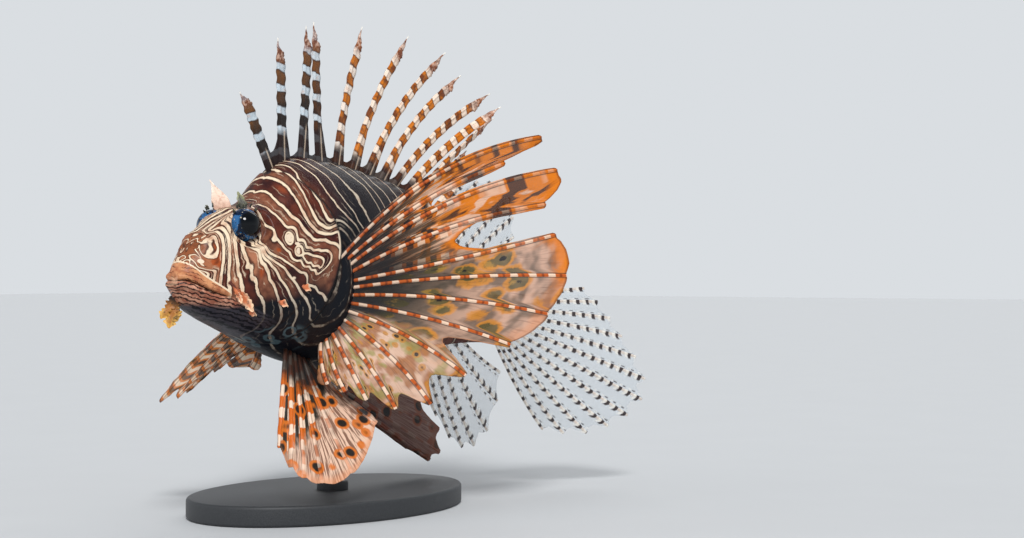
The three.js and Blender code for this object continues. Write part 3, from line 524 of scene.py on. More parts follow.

# markings: cream lines at the whole numbers of a smooth phase, led by given guides

# each guide: its phase, then its way over the left side as (station, height); 99 is the back
guides = [
    (1, [(16.8, 20), (15.6, 10), (15, 5), (14.6, 1)]),
    (2, [(19, 20), (18, 10), (17.8, 5), (18, 0)]),
    (3, [(21, 17), (21.3, 10), (22.4, 5), (23.8, 0)]),
    (4, [(24.3, 15), (25, 10), (27, 5), (29.5, 0), (31, -5)]),
    (5, [(30.6, 17), (30.7, 14.5), (32.5, 10), (34.3, 6), (35.3, 2.5), (37.5, -1), (39, -5), (42, -12)]),
    (6, [(35.7, 8), (38.5, 4.5), (40.5, 1.5), (43.8, -1.3), (48, -7), (52, -15)]),
    (7, [(42, 7), (45.5, 4.5), (48, 3.2), (54, -2), (58, -10), (60, -18)]),
    (8, [(34, 17.5), (35.8, 14), (38.5, 12), (43, 10.5), (48, 10), (55, 5.5), (61, 0), (65, -8)]),
    (9, [(37.8, 25.5), (39.3, 23), (40.2, 19), (42.8, 17.5), (46, 16.2), (51.5, 16.5), (55.5, 15), (59, 13),
         (63, 11)]),
    (9, [(34, 37), (40.5, 34.5), (42.5, 32), (45, 29), (47.3, 27.3), (51, 25.3), (55, 24), (59, 22.7),
         (63, 21.5)]),
    (9.5, [(38.5, 32), (41.3, 29.3), (43.6, 26.3), (44.5, 23.5)]),
    (10.5, [(47, 22.6), (51.5, 20.9), (56.5, 18.9), (60.5, 16.6)]),
    (10, [(46.5, 25), (50.5, 22.7), (55, 21.3), (59, 20.3), (62.5, 18.3)]),
    (10, [(49, 20), (53, 18.7), (55.5, 16.7), (58.5, 15), (62, 12.6)]),
    (8, [(45.5, 99), (47.5, 36.5), (50.7, 33), (54.5, 31), (58.3, 28.7), (62.5, 26.7), (65.8, 25.5),
         (68.5, 23)]),
    (7, [(51, 99), (53, 43.5), (54.5, 39), (60, 32), (66.5, 27.5), (73, 25.5), (75, 23.5)]),
    (6, [(54.5, 99), (57.5, 47), (58.3, 43), (59.5, 39.5), (61, 36.5), (63, 33), (66, 30.5)]),
    (5, [(57, 99), (60.3, 48.7), (62, 45.5), (63.5, 42), (65, 39.3), (66.3, 36.5), (70, 30.7)]),
    (4, [(61.5, 99), (65.3, 55.8), (67.5, 53), (69.8, 49.5), (72, 45), (74.5, 41), (77.5, 37.5), (80.5, 34),
         (84, 30.7), (88, 27.5), (93, 18), (96, 5), (97, -10)]),
    (3, [(66, 99), (70.5, 57.3), (73, 55), (76.5, 52), (79, 48.7), (80.5, 44.8), (83, 41.6), (85.7, 37.7),
         (88.5, 34), (90.5, 29.7), (97, 18), (101, 4), (103, -10)]),
    (2, [(76, 99), (79, 58), (82, 55.6), (85.3, 53.3), (88.7, 50.4), (90.5, 46.5), (93.5, 43), (94.5, 40.4),
         (97, 36.7), (99, 32), (104, 20), (108, 5), (110, -10)]),
    (1, [(90, 99), (94, 57.4), (97, 55.3), (99.8, 53.2), (103.7, 50.5), (106, 47.3), (108, 43.5), (110, 38.5),
         (114, 25), (117, 10), (118, -5)]),
    (0, [(100, 99), (105, 55.5), (108.5, 51.5), (116, 38), (122, 22), (126, 5)]),
    (-1, [(111, 99), (115, 53.2), (119.8, 49.7), (127, 34), (132, 15), (134, 0)]),
    (-2, [(122, 99), (128, 52.8), (131, 49.2), (137, 35), (141, 18), (143, 2)]),
    (-3, [(135, 99), (140, 49.5), (146, 35), (150, 18), (152, 3)]),
    (-4, [(149, 99), (154, 40), (158, 20), (160, 0)]),
    (-5, [(163, 99), (167, 30), (170, 10)]),
    (-6, [(177, 99), (180, 20), (182, 0)]),
    (-7, [(191, 99), (193, 5)]),
    (-8, [(205, 99), (206, 0)]),
]


spline = {"stations": 109, "angles": 121, "smoothing": 0.6, "slopeStep": 0.4, "leastSlope": 0.06}


# arc length from the back down each section, so that the lines cross the back smoothly
def girth():
    s, a = np.meshgrid(np.linspace(0, body["length"], spline["stations"]),
                       np.linspace(0, math.pi, spline["angles"]), indexing="ij")
    p = bodyPoint(s, a)
    step = np.linalg.norm(np.diff(p, axis=1), axis=-1)
    return s[:, 0], p[..., 2], np.concatenate([np.zeros((len(s), 1)), np.cumsum(step, 1)], 1)


# that length at a station and height, read between the table's two nearest sections
def girthAt(s, z, table):
    stations, heights, lengths = table
    i = np.clip(np.searchsorted(stations, s), 1, len(stations) - 1)
    t = (s - stations[i - 1]) / (stations[i] - stations[i - 1])
    h, g = mix(heights[i - 1], heights[i], t), mix(lengths[i - 1], lengths[i], t)
    return float(np.interp(-z, -np.maximum.accumulate(h[::-1])[::-1], g))


# thin-plate spline through the guides: sum of w·r²·ln r plus a plane, slightly smoothed
def fitPhase(table):
    rows = [(s, girthAt(s, z, table), phase) for phase, way in guides for s, z in way]
    known = np.array(rows)
    spots, values = known[:, :2], known[:, 2]
    r = np.linalg.norm(spots[:, None] - spots[None], axis=-1)
    kernel = r ** 2 * np.log(np.maximum(r, 1e-6)) + spline["smoothing"] * np.eye(len(spots))
    plane = np.column_stack([np.ones(len(spots)), spots])
    system = np.block([[kernel, plane], [plane.T, np.zeros((3, 3))]])
    weights = np.linalg.solve(system, np.concatenate([values, np.zeros(3)]))

    def phaseAt(s, g):
        out = weights[-3] + weights[-2] * s + weights[-1] * g
        for (x, y), w in zip(spots, weights[:-3]):
            q = (s - x) ** 2 + (g - y) ** 2
            out = out + w * 0.5 * q * np.log(np.maximum(q, 1e-12))
        return out

    return phaseAt


# the skin's own girth coordinate, the same on both sides
def skinGirth():
    step = np.linalg.norm(np.roll(bare, -1, 1) - bare, axis=-1)
    left = np.concatenate([np.zeros((len(step), 1)), np.cumsum(step, 1)[:, :-1]], 1)
    return np.minimum(left, step.sum(1, keepdims=True) - left)


table = girth()
phaseAt = fitPhase(table)
girthCoordinate = skinGirth()
phase = phaseAt(station, girthCoordinate)
step = spline["slopeStep"]
slopeS = (phaseAt(station + step, girthCoordinate) - phase) / step
slopeG = (phaseAt(station, girthCoordinate + step) - phase) / step
pitch = 1 / np.maximum(np.hypot(slopeS, slopeG), spline["leastSlope"])

# mm between the crown's lines and the jaw's, least and most mm between the others, their width on the
# snout and behind it, its share on the crown, and how the mouth's line falls behind its corner
lines = {"crownPitch": 2.5, "jawPitch": 1.45, "pitch": (0.5, 9), "width": (1.15, 0.9), "crownWidth": 0.8,
         "cornerFall": 0.33, "jawTurn": 0.1}
# soft patches on the side, each with its station, height, their reaches and its strength
patches = {
    "rings": [(52, -21, 13, 6, 1.4)],
    # patches of painted shadow, low behind the gill cover and under the cheek, over skin that is partly dark
    # itself
    "darkSkinAndShade": [(58, -4, 14, 9, 1), (38, -8, 9, 5, 0.5)],
    "rust": [(14, 12, 1.3, 8, 1), (12, 8, 1.3, 1.4, 1), (31.5, 6, 1.6, 4, 0.7), (51, 43, 3, 3.6, 0.55),
             (55, 10.5, 2.6, 1.6, 0.7), (40.5, 16, 1.8, 1.4, 0.8), (18.5, 26, 2.5, 4, 0.5)],
    "pale": [(45.5, 21.8, 1.2, 1.1, 1), (50.5, 19.7, 1.8, 0.9, 1), (47.5, 4.8, 2, 1.3, 0.7),
             (53, 6.8, 1.5, 1.2, 0.6), (1, 0.6, 2.6, 1.6, 1), (7.5, 8, 1.4, 1.2, 1)],
}


def patched(name):  # the sum of strength·exp(-((x - station)/reach)² - ((z - height)/reach)²)
    return sum(strength * hump(station, s, reachS) * hump(level, z, reachZ)
               for s, z, reachS, reachZ, strength in patches[name])


def within(x, low, high, soft):  # 1 from low to high, eased to 0 over the soft widths beside them
    return ease(x, low - soft[0], low) * (1 - ease(x, high, high + soft[1]))


below = mouthHeight - np.maximum(0, station - mouth["corner"]) * lines["cornerFall"] - level
behind = station - gillAt(angle)
lipTop = curve(*np.array(mouth["lipTop"]).T, mouthStation)
beside = np.abs(bare[..., 1])
crown = ((1 - ease(beside, 4.5, 7.5)) * ease(level - topAt(station), -11, -6)
         * within(station, 15, 33, (6, 11)))
snoutLoops = (1 - ease(station, 9, 16)) * ease(level, 2.5, 7)
# blue-black skin, partly its own colour and partly painted shade: throat and belly darkened for the shade
# beneath, behind the gill cover and in two low patches for the shadow there
darkAndShadedPlaces = (
    ease(-level, 0, 13) * ease(station, 20, 42)  # the throat, partly painted shade
    + ease(-level, 7, 13)  # the belly, partly painted shade
    + ease(station, 70, 88) * 0.85  # the trunk
    + ease(behind, -3, 1) * ease(40 - level, 0, 12)  # behind the gill cover, a painted shadow
    + patched("darkSkinAndShade"))
hushed = (
    within(behind, 1, 16, (2.5, 18)) * ease(34 - level, 0, 8)  # behind the gill cover, faded under the painted shadow there
    + ease(-level, 3, 14) * ease(station, 34, 50) * 0.75  # the throat
    + np.minimum(1, 4 * crown * (1 - crown)) * ease(station, 31, 35))  # the crown's edges
pale = (
    patched("pale")
    + ease(phase, 10.05, 10.3) * within(station, 42, 50, (2, 3)) * ease(level, 12, 15)  # behind the eye
    + hump(behind, -0.9, 0.6) * within(level, 17, 26, (5, 4)))  # the gill cover's rim
marks = {
    # cream lines at its whole numbers, the distance between them in mm and their width
    "phase": mix(mix(phase, 0.4 + beside / lines["crownPitch"], crown), 0.4, snoutLoops * 0.9),
    "pitch": mix(np.clip(pitch, *lines["pitch"]), lines["crownPitch"], crown),
    "lineWidth": (mix(*lines["width"], ease(station, 26, 38))
                  * mix(1, lines["crownWidth"], ease(level, 30, 42))),
    "loops": snoutLoops,  # where the lines swirl
    "rings": np.clip(patched("rings"), 0, 1),
    "face": 1 - ease(station, 28, 42),
    "jaw": ease(below, -0.6, 0.8) * (1 - ease(station, 34, 50)),
    "jawPhase": (below + lines["jawTurn"] * station) / lines["jawPitch"],
    "lip": ease(-below, -0.4, 0.4) * ease(lipTop - level, -0.2, 0.5) * (1 - ease(station, 18.5, 21)),
    "creamLip": hump(level - lipTop, 0, 0.5) * (1 - ease(station, 18, 22)),
    "flank": ease(behind, -2, 8) * ease(level, 0, 22),
    "darkSkinAndShade": np.clip(darkAndShadedPlaces, 0, 1) * (1 - ease(station, 150, 190) * 0.75),  # blue-black skin, partly its own colour and partly painted shade
    "hush": np.clip(hushed, 0, 1),  # where the lines fade out; behind the gill cover they fade under the painted shadow
    "rust": np.clip(patched("rust"), 0, 1),
    "pale": np.clip(pale, 0, 1),
    # painted shade in the mouth's slit, following the groove's depth
    "slit": slitDepth,
    # painted shadow: near-black in the fold under the gill cover's edge
    "gillGap": hump(behind, 0.8, 1.6) * ease(np.sin(angle) ** 2, 0.1, 0.5),
    "tail": ease(station, 140, 200),
}
print("markings laid out:", len(marks), "fields")


skinColours = {
    "cream": (238, 216, 186), "pink": (184, 122, 90), "tan": (164, 96, 56), "brown": (96, 44, 30),
    "maroon": (50, 20, 20), "flank": (44, 18, 20), "deep": (7, 11, 20), "rust": (168, 74, 26),
    "ink": (26, 10, 8), "slate": (84, 100, 112), "bone": (232, 210, 184), "jawDark": (158, 96, 74),
    "jaw": (206, 150, 124), "jawLine": (30, 12, 12), "nightLine": (38, 48, 60), "lip": (208, 146, 102),
    "lipDark": (166, 98, 66), "lipLine": (88, 42, 28), "teal": (78, 98, 104), "slit": (30, 14, 12),
    "gillGap": (6, 8, 12),
}


# a line shows where the phase's distance to a whole number, times the pitch, is under half a width;
# a thread is a fainter line halfway between two
def skinMaterial():
    r = Recipe("fishSkin", {"Coat Weight": 0.06, "Coat Roughness": 0.2, "Specular IOR Level": 0.16})
    c = palette(skinColours)
    darkSkinAndShade, flank, tail, loops, face = r.fields("darkSkinAndShade", "flank", "tail", "loops", "face")
    pitch, jawPhase = r.fields("pitch", "jawPhase")
    drift = r.noise(0.09, 2) - 0.5
    fine = r.noise(0.36, 3, 0.6) - 0.5
    curl = r.noise(0.125, 1, 0.4, twist=0.8) - 0.5
    phase = r.field("phase") + drift * 0.3 + fine * (0.1 + face * 0.12) + loops * curl * 5
    near = r.most(face, (1 - flank) * 0.55)
    away = r.aside(phase) * (pitch + (2.9 - pitch) * loops)
    width = r.field("lineWidth") * (0.75 + r.noise(0.15, 2) * 0.55) * (1 - loops * 0.3)
    line = r.fall(away - width * 0.5, -0.14, 0.14)
    faint = r.fall(r.aside(phase + 0.5 + fine * 0.2) * pitch, 0.2, 0.5)
    line = r.most(line, faint * flank * r.rise(r.noise(0.1, 2), 0.5, 0.7) * 0.45)
    thread = r.fall(r.aside(phase + 0.5 + drift * 0.5 + fine * 0.35) * pitch, 0.1, 0.3)
    line = r.most(line, thread * near * (1 - loops) * r.rise(r.noise(0.16, 2), 0.46, 0.58) * 0.6)
    hush = r.field("hush") * (0.55 + r.rise(r.noise(0.3), 0.4, 0.6) * 0.4)
    line = line * (1 - hush) * (1 - tail * 0.3)
    edge = r.fall(away - width * 0.5, 0.05, 0.8) * (1 - line)
    # between the lines: reddish brown to maroon, every second band paler, blue-black where the skin is dark
    # or lies in painted shade
    second = r.rise(r.wave(phase * 0.5), 0.52, 0.75) * near
    second = second * (0.25 + r.rise(r.noise(0.2, 3), 0.4, 0.7) * 0.6)
    band = r.layers(c.brown, (r.rise(r.noise(0.13, 3), 0.35, 0.65), c.maroon), (second, c.pink),
                    (loops * 0.6, c.tan), (r.rise(r.field("rust"), 0.25, 0.8) * 0.85, c.rust),
                    (flank * 0.8, c.flank), (darkSkinAndShade, c.deep), (tail * 0.6, c.brown), (edge * 0.75, c.ink))
    # the lines: cream, with a duller core where they are broad, and slate where the skin is dark or lies in
    # painted shade
    core = r.fall(away / width, 0.05, 0.3) * face * r.rise(r.noise(0.12), 0.45, 0.65)
    stripe = r.layers(c.cream, (r.rise(r.noise(0.22, 2), 0.45, 0.75) * 0.6, c.pink), (core * 0.4, c.pink),
                      (darkSkinAndShade * 0.4, c.slate))
    # the lower jaw and the lips: fine dark waves parallel to the mouth, blue-black under the jaw where the
    # skin is dark or lies in painted shade
    wave = r.fall(r.aside(jawPhase + fine * 1.7 + drift * 0.8), 0.13, 0.25)
    jawCoat = r.layers(c.jawDark, (r.rise(r.noise(0.3, 2), 0.35, 0.65), c.jaw), (wave * 0.95, c.jawLine),
                       (r.rise(darkSkinAndShade, 0.1, 0.75) * 0.94, r.colours(wave, c.nightLine, c.deep)))
    wave = r.fall(r.aside(jawPhase * 0.85 + fine * 1.9), 0.06, 0.16) * r.rise(r.noise(0.2), 0.42, 0.55)
    lipCoat = r.layers(c.lip, (r.rise(r.noise(0.22, 3), 0.4, 0.62), c.lipDark), (wave * 0.85, c.lipLine))
    # the belly: faint rings
    ring = r.cells(0.15) + fine * 0.25
    ring = r.rise(ring, 0.26, 0.32) * r.fall(ring, 0.42, 0.5) * r.rise(r.field("rings"), 0.3, 0.7)
    coat = r.layers(band, (line, stripe), (r.rise(r.field("pale"), 0.45, 0.62), c.bone),
                    (r.field("jaw"), jawCoat), (r.field("lip"), lipCoat),
                    (r.rise(r.field("creamLip"), 0.4, 0.7), c.cream), (ring * 0.7, c.teal),
                    # painted shade in the mouth's slit
                    (r.rise(r.field("slit"), 0.35, 0.85) * 0.75, c.slit),
                    # painted shadow in the fold under the gill cover's edge
                    (r.rise(r.field("gillGap"), 0.2, 0.8) * 0.9, c.gillGap))
    grain = r.noise(1.6, 3, 0.6)
    height = r.cells(0.75) * 0.5 + grain * 0.3 + line * 0.5
    return r.finish({"Base Color": coat, "Roughness": 0.36 + grain * 0.22, "Normal": r.bump(height, 0.00022)})


snoutPole = place(-skin["snoutAhead"], 0, skin["snoutHeight"]) + np.array([mouth["slit"][1] * 0.9, 0, 0])
endPole = place(body["length"], 0, (topAt(body["length"]) + bottomAt(body["length"])) / 2)
points, faces = closedTube(grid, snoutPole, endPole)
poleMarks = {key: np.concatenate([values.ravel(), [values[0].mean()], [values[-1].mean()]])
             for key, values in marks.items()}
makePiece("skin", [(toWorld(points), faces, poleMarks)], skinMaterial(),
          ("head", "trunk", "tail_stem"))
print("skin built:", len(points), "points")

# eyes: a ball with a shallow cornea; ring is the angle from its facing, turn goes round it

# centre + radius·(cos ring·axis + sin ring·cos turn·up + sin ring·sin turn·across), with a cornea
def eyeBall(side, rows=56, columns=72, least=0.02):
    axis, centre = eyeAxis(side), eyeCentre(side)
    upward = unit(np.array([0, 0, 1]) - axis * axis[2])
    across = np.cross(axis, upward)
    ring = np.linspace(least, math.pi - least, rows)[:, None]
    turn = np.arange(columns)[None, :] * 2 * math.pi / columns
    radius = eyes["radius"] * (1 - eyes["cornea"] + eyes["cornea"] * hump(ring, 0, 0.5))
    way = (np.cos(ring)[..., None] * axis + (np.sin(ring) * np.cos(turn))[..., None] * upward
           + (np.sin(ring) * np.sin(turn))[..., None] * across)
    points, faces = closedTube(centre + way * radius[..., None], centre + axis * eyes["radius"],
                               centre - axis * eyes["radius"] * (1 - eyes["cornea"]))
    rings = np.concatenate([np.broadcast_to(ring, (rows, columns)).ravel(), [0], [math.pi]])
    return toWorld(points), faces, {"ring": rings}


eyeColours = {"iris": (6, 14, 28), "irisRim": (12, 32, 60), "patch": (48, 104, 156), "fleck": (214, 206, 176),
              "pupil": (2, 5, 10)}


def eyeMaterial():  # a dark pupil, blue patches and pale flecks, each within its own rings
    r = Recipe("eyeBall", {"Roughness": 0.1, "Coat Weight": 0.2, "Coat Roughness": 0.03,
                           "Specular IOR Level": 0.15})
    c = palette(eyeColours)
    ring = r.field("ring") + (r.noise(0.5, 2) - 0.5) * 0.2
    patch = r.rise(r.noise(0.3, 2, 0.5, twist=0.6), 0.48, 0.56) * r.rise(ring, 0.8, 0.95)
    fleck = r.rise(r.noise(1.2, 2), 0.66, 0.7) * r.rise(ring, 0.7, 0.85)
    return r.finish({"Base Color": r.layers(
        c.iris, (r.rise(ring, 0.65, 1.2), c.irisRim), (patch * 0.85, c.patch), (fleck * 0.8, c.fleck),
        (r.fall(ring, 0.7, 0.8), c.pupil))})


eyePaint = eyeMaterial()
for name, side in (("left", -1), ("right", 1)):
    makePiece("eyeball_" + name, [eyeBall(side)], eyePaint, ("eye_" + name,))
print("eyes built")

# fins: ray r leaves base(f) with its azimuth, elevation, length and bow, f from 0 to 1

fans = {"rowPower": 1.25, "room": 0.4, "thinEdge": 0.35, "cornerCut": 0.012, "webMargin": 1.7}
rayPlaces = np.array([-2, -1.5, -1.05, -0.75, -0.4, 0, 0.4, 0.75, 1.05, 1.5, 2])


# base(f) + length·(cos az·level, -sin az·level, rise), where level = t·cos el - b·sin el,
# rise = t·sin el + b·cos el and b = 4t(1 - t)·bow
def rayPoint(fin, f, t):
    azimuth, elevation = np.radians(along(fin["azimuth"], f)), np.radians(along(fin["elevation"], f))
    length, bow = along(fin["length"], f), 4 * t * (1 - t) * along(fin["bow"], f)
    level = length * (t * np.cos(elevation) - bow * np.sin(elevation))
    rise = length * (t * np.sin(elevation) + bow * np.cos(elevation))
    return fin["base"](f + 0 * t) + vectors(np.cos(azimuth) * level, -np.sin(azimuth) * level, rise)


def rayDirection(fin, f, t, step=0.03):  # along the ray, outwards
    return unit(rayPoint(fin, f, t + step) - rayPoint(fin, f, t - step))


def acrossRay(fin, f, t, step=0.02):  # towards the next ray, square to this one
    across = rayPoint(fin, np.minimum(1, f + step), t) - rayPoint(fin, np.maximum(0, f - step), t)
    ray = rayDirection(fin, f, t)
    return unit(across - ray * dot(across, ray))


# room beside a ray: a share of the way to its neighbour, measured across the ray
def roomBeside(fin, r, t, way):
    last = fin["rays"] - 1
    other = np.clip(r + way, 0, last)
    apart = rayPoint(fin, other / last, t) - rayPoint(fin, r / last, t)
    room = fin.get("room", fans["room"]) * np.abs(dot(apart, acrossRay(fin, r / last, t)))[..., 0]
    return np.where(other == r, np.inf, room)


# a point beside ray r: k runs from -2, the leading edge of its skin, over 0, the shaft, to 2
def besideRay(fin, r, k, t):
    last = fin["rays"] - 1
    lead = np.minimum(fin["lead"](t, r), roomBeside(fin, r, t, -1))
    trail = np.minimum(fin["trail"](t, r), roomBeside(fin, r, t, 1))
    width = np.where(k < 0, lead, trail)
    shaft = mix(fin["shaft"][0], fin["shaft"][1], np.clip(t, 0, 1)) / 2
    shaft = np.minimum(shaft, 0.8 * width)
    size = np.abs(k)
    offset = np.sign(k) * np.where(size <= 1, size * shaft, mix(shaft, width, np.clip(size - 1, 0, 1)))
    across = acrossRay(fin, r / last, t)
    point = rayPoint(fin, r / last, t) + across * offset[..., None]
    normal = unit(np.cross(across, rayDirection(fin, r / last, t)))
    ridge = np.sqrt(np.maximum(0, 1 - (offset / np.maximum(shaft, 1e-6)) ** 2))
    return point, normal, 2 * shaft * ridge, ridge, offset


# share·(1 - (1 - h)^(1/share)): a height as a share of the ray, level with its neighbours near the root
def risenTo(h, share):
    return np.where(h <= 0, h, share * (1 - np.maximum(0, 1 - h) ** (1 / share)))


def ragged(x):  # uneven nicks: three waves that never fall together
    return (np.sin(x * 7.3) + np.sin(x * 17.9 + 1.3) + np.sin(x * 41.7 + 0.4)) / 3


# a lobe's columns as (ray, place across its skin, share of the way to the next ray)
def lobeColumns(fin, first, last):
    spread = np.linspace(0, 1, fin["between"] + 2)[1:-1]
    own = np.column_stack([0 * rayPlaces, rayPlaces, 0 * rayPlaces])
    step = np.concatenate([own, np.column_stack([0 * spread, 2 + 0 * spread, spread])])
    rows = [step + (r, 0, 0) for r in range(first, last)] + [own + (last, 0, 0)]
    return np.concatenate(rows).T[:, :, None]


# one lobe: the rays from first to last with the membrane between them, as a closed sheet; the
# membrane ends at notch + (1 - notch)·|2v - 1|^scallop of the rays' length, less the nicks
def lobeShell(fin, first, last):
    ray, k, v = lobeColumns(fin, first, last)
    notch = np.array(fin["membrane"])[np.minimum(ray.astype(int), len(fin["membrane"]) - 1)]
    tip = np.ones(fin["rays"] + 1)
    for where, value in fin.get("shorter", {}).items():
        tip[where] = value
    share = mix(tip[ray.astype(int)], tip[ray.astype(int) + 1], v)
    share = share * np.where(v > 0, mix(notch, 1, np.abs(2 * v - 1) ** fin["scallop"]), 1)
    share = share - np.where(v > 0, fin["nicks"] * (0.5 + 0.5 * ragged(ray + v)) * np.sin(math.pi * v), 0)
    outer = ((ray == first) & (k < -1)) | ((ray == last) & (k > 1))
    share = share * (1 - np.where(outer, fans["cornerCut"] * (np.abs(k) - 1) ** 2, 0))
    h = mix(1, fin["root"], (1 - np.linspace(0, 1, fin["rows"] + 1)[None, :]) ** fans["rowPower"])
    t = risenTo(h, share)
    point, normal, shaft, ridge, offset = besideRay(fin, ray, k, t)
    nextPoint, nextNormal = besideRay(fin, np.minimum(ray + 1, last), np.full_like(k, -2), t)[:2]
    inside = np.broadcast_to(v > 0, t.shape)
    point = np.where(inside[..., None], mix(point, nextPoint, v[..., None]), point)
    normal = unit(np.where(inside[..., None], mix(normal, nextNormal, v[..., None]), normal))
    ridge = np.where(inside, 0, ridge)
    thin = fin["skin"] * mix(1, fans["thinEdge"], ease(h, 0.9, 1))
    thick = np.maximum(np.where(inside, 0, shaft), thin)
    ripple = fin["ripple"] * ease(h, 0.1, 0.8) * np.sin(math.pi * v) * np.sin(t * fin["waves"] + ray * 1.7)
    frill = fin["frill"] * ease(np.abs(k), 1.2, 2) * (1 - ridge) * np.where(inside, 0, 1)
    frill = frill * np.sin(t * fin["waves"] * 2.6 + ray * 2.3) * ease(h, 0.15, 0.5) * (1 - ease(h, 0.94, 1))
    point = point + normal * (ripple + frill)[..., None]
    length = along(fin["length"], ray / (fin["rays"] - 1))
    return sheetShell(point, normal, thick, {
        "ray": ray + v, "along": t * length, "reach": t, "ridge": ridge, "edge": h,
        "beside": np.where(inside, 0, offset), "between": v})


# the web between two lobes: thin skin from inside one margin to inside the next
def webShell(fin, r, columns=12, rows=30):
    v = np.linspace(0, 1, columns + 1)[:, None]
    notch = fin["membrane"][min(r, len(fin["membrane"]) - 1)]
    share = notch * mix(1, 1.25, (2 * v - 1) ** 2) - fin["nicks"] / 2 * ragged(v * 3 + r)
    t = mix(fin["root"], share, np.linspace(0, 1, rows + 1)[None, :])
    one, two = (besideRay(fin, np.full_like(t, r + k), np.full_like(t, margin), t)
                for k, margin in ((0, fans["webMargin"]), (1, -fans["webMargin"])))
    point, normal = mix(one[0], two[0], v[..., None]), unit(mix(one[1], two[1], v[..., None]))
    length = along(fin["length"], (r + v) / (fin["rays"] - 1))
    return sheetShell(point, normal, fin["skin"] * 0.8, {
        "ray": r + v, "along": t * length, "reach": t, "ridge": 0, "edge": t / share, "beside": 0,
        "between": v})


def makeFin(name, fin, material, slot, node):  # its lobes and the webs between them
    shells = [lobeShell(fin, first, last) for first, last in fin["lobes"]]
    shells += [webShell(fin, last) for _, last in fin["lobes"][:-1]]
    piece = makePiece(name, shells, material, (node,))
    print(name, "built:", len(piece.data.polygons), "faces")


def even(value):  # the same width all along a ray
    return lambda t, r: value + 0 * t


def pectoralBase(side):  # from top to foot with a bulge 4f(1 - f)
    top, foot, bulge = (76.5, 25.5, 17.5), (74.5, 17.5, -20), (5, 1.5, 0)

    def base(f):
        x, y, z = (mix(a, b, f) + c * 4 * f * (1 - f) for a, b, c in zip(top, foot, bulge))
        return vectors(x, side * y, z)

    return base


def flagAt(t):  # sin(pi·t⁴): a flag of skin that is widest near the tip
    return np.sin(math.pi * np.clip(t, 0, 1) ** 4)


pectoralLeft = {
    "rays": 14, "lobes": [(0, 1), (2, 3), (4, 13)], "rows": 88, "between": 7, "root": -0.09,
    "base": pectoralBase(-1),
    "azimuth": [20, 21, 23, 25, 28, 31, 35, 40, 48, 58, 68, 80, 90, 98],
    "elevation": [32, 33.2, 27, 22, 16.5, 7.5, -1, -10.5, -24.5, -40, -50, -56, -62, -72],
    "length": [124, 97, 125, 114, 115, 110, 98, 83, 63, 57, 48, 37, 28, 20],
    "bow": [0.08, 0.045, 0.06, 0.045, -0.01, 0.02, 0.03, 0.03, 0.05, 0.05, 0.03, 0, -0.05, -0.08],
    "membrane": [1.03, 0.42, 1.04, 0.5, 1.04, 1.02, 1.03, 0.68, 0.84, 0.86, 0.86, 0.86, 0.86],
    "shorter": {0: 0.98, 2: 0.97, 3: 0.95, 4: 0.935, 5: 0.985, 6: 0.985, 7: 0.95},
    "scallop": 2, "nicks": 0.012, "shaft": (1.7, 0.7), "skin": 0.4, "ripple": 0.7, "waves": 17, "frill": 0.3,
    "lead": lambda t, r: 1.1 + np.where(r < 5, 0.8 * np.sin(math.pi * np.maximum(0, t)), 0.2),
    "trail": lambda t, r: 1.1 + np.where((r == 0) | (r == 2), 4.5, np.where(r > 7, 2.4, 1)) * flagAt(t),
}
pectoralRight = {
    **pectoralLeft, "lobes": [(0, 1), (2, 3), (4, 6), (7, 13)], "rows": 72, "base": pectoralBase(1),
    "azimuth": [-17, -18, -20, -23, -27, -36, -58, -99, -105, -110, -115, -118, -122, -126],
    "elevation": [22, 18, 13, 8, 1, -8, -25, -41, -42, -45, -45.5, -45.5, -47, -76],
    "length": [118, 104, 120, 112, 108, 95, 58, 67, 67, 58, 48, 30, 21, 14],
    "bow": [0.07, 0.06, 0.06, 0.06, 0.06, 0.035, 0.02, 0.04, 0.04, 0.02, 0, 0, -0.05, -0.08],
    "membrane": [0.9, 0.44, 0.95, 0.52, 0.96, 0.9, 0.35, 1.0, 0.9, 0.96, 0.45, 0.6, 1.02],
    "shorter": {7: 0.97, 9: 0.96},
}


def pelvicBase(side, start):  # a straight line under the belly, 15 mm long
    return lambda f: vectors(start + 15 * f, side * mix(9.5, 7.5, f), mix(-23.5, -26, f))


pelvicLeft = {
    "rays": 6, "lobes": [(0, 5)], "rows": 70, "between": 12, "root": -0.04, "base": pelvicBase(-1, 61),
    "azimuth": [139, 131, 125, 117, 100, 64], "elevation": [-67, -61, -58, -56, -52, -40],
    "length": [49, 58, 64, 67, 64, 47], "bow": [0.06, 0.05, 0.03, 0, -0.03, -0.05],
    "membrane": [1.015, 1.02, 1.025, 1.035, 1.04], "shorter": {0: 0.97, 5: 0.95}, "scallop": 2, "nicks": 0.01,
    "shaft": (1.7, 0.7), "skin": 0.4, "ripple": 0.5, "waves": 14, "frill": 0.2,
    "lead": even(1),
    "trail": lambda t, r: 1 + np.where(r > 4, 3.2, 0) * np.sin(math.pi * np.clip(t, 0, 1) ** 2.5),
}
pelvicRight = {
    **pelvicLeft, "root": -0.02, "base": pelvicBase(1, 70), "azimuth": [3, 5, 7, 8, 8, 7],
    "elevation": [-23, -25, -25, -22.5, -17.5, -11], "length": [88, 100, 111, 111, 103, 89],
    "bow": [0, 0, 0, 0, 0, 0], "membrane": [0.97, 0.98, 0.98, 0.98, 0.97],
    "trail": even(1),
}
sunk = 3  # how deep the median fins' roots lie in the body


def backBase(first, last):  # a line of stations along the back, sunk into it
    return lambda f: place(mix(first, last, f), 0, topAt(mix(first, last, f)) - sunk)


def bellyBase(first, last):  # the same along the belly
    return lambda f: place(mix(first, last, f), 0, bottomAt(mix(first, last, f)) + sunk)


def turnAt(station):  # the axis's turn in degrees
    return math.degrees(heading(station))


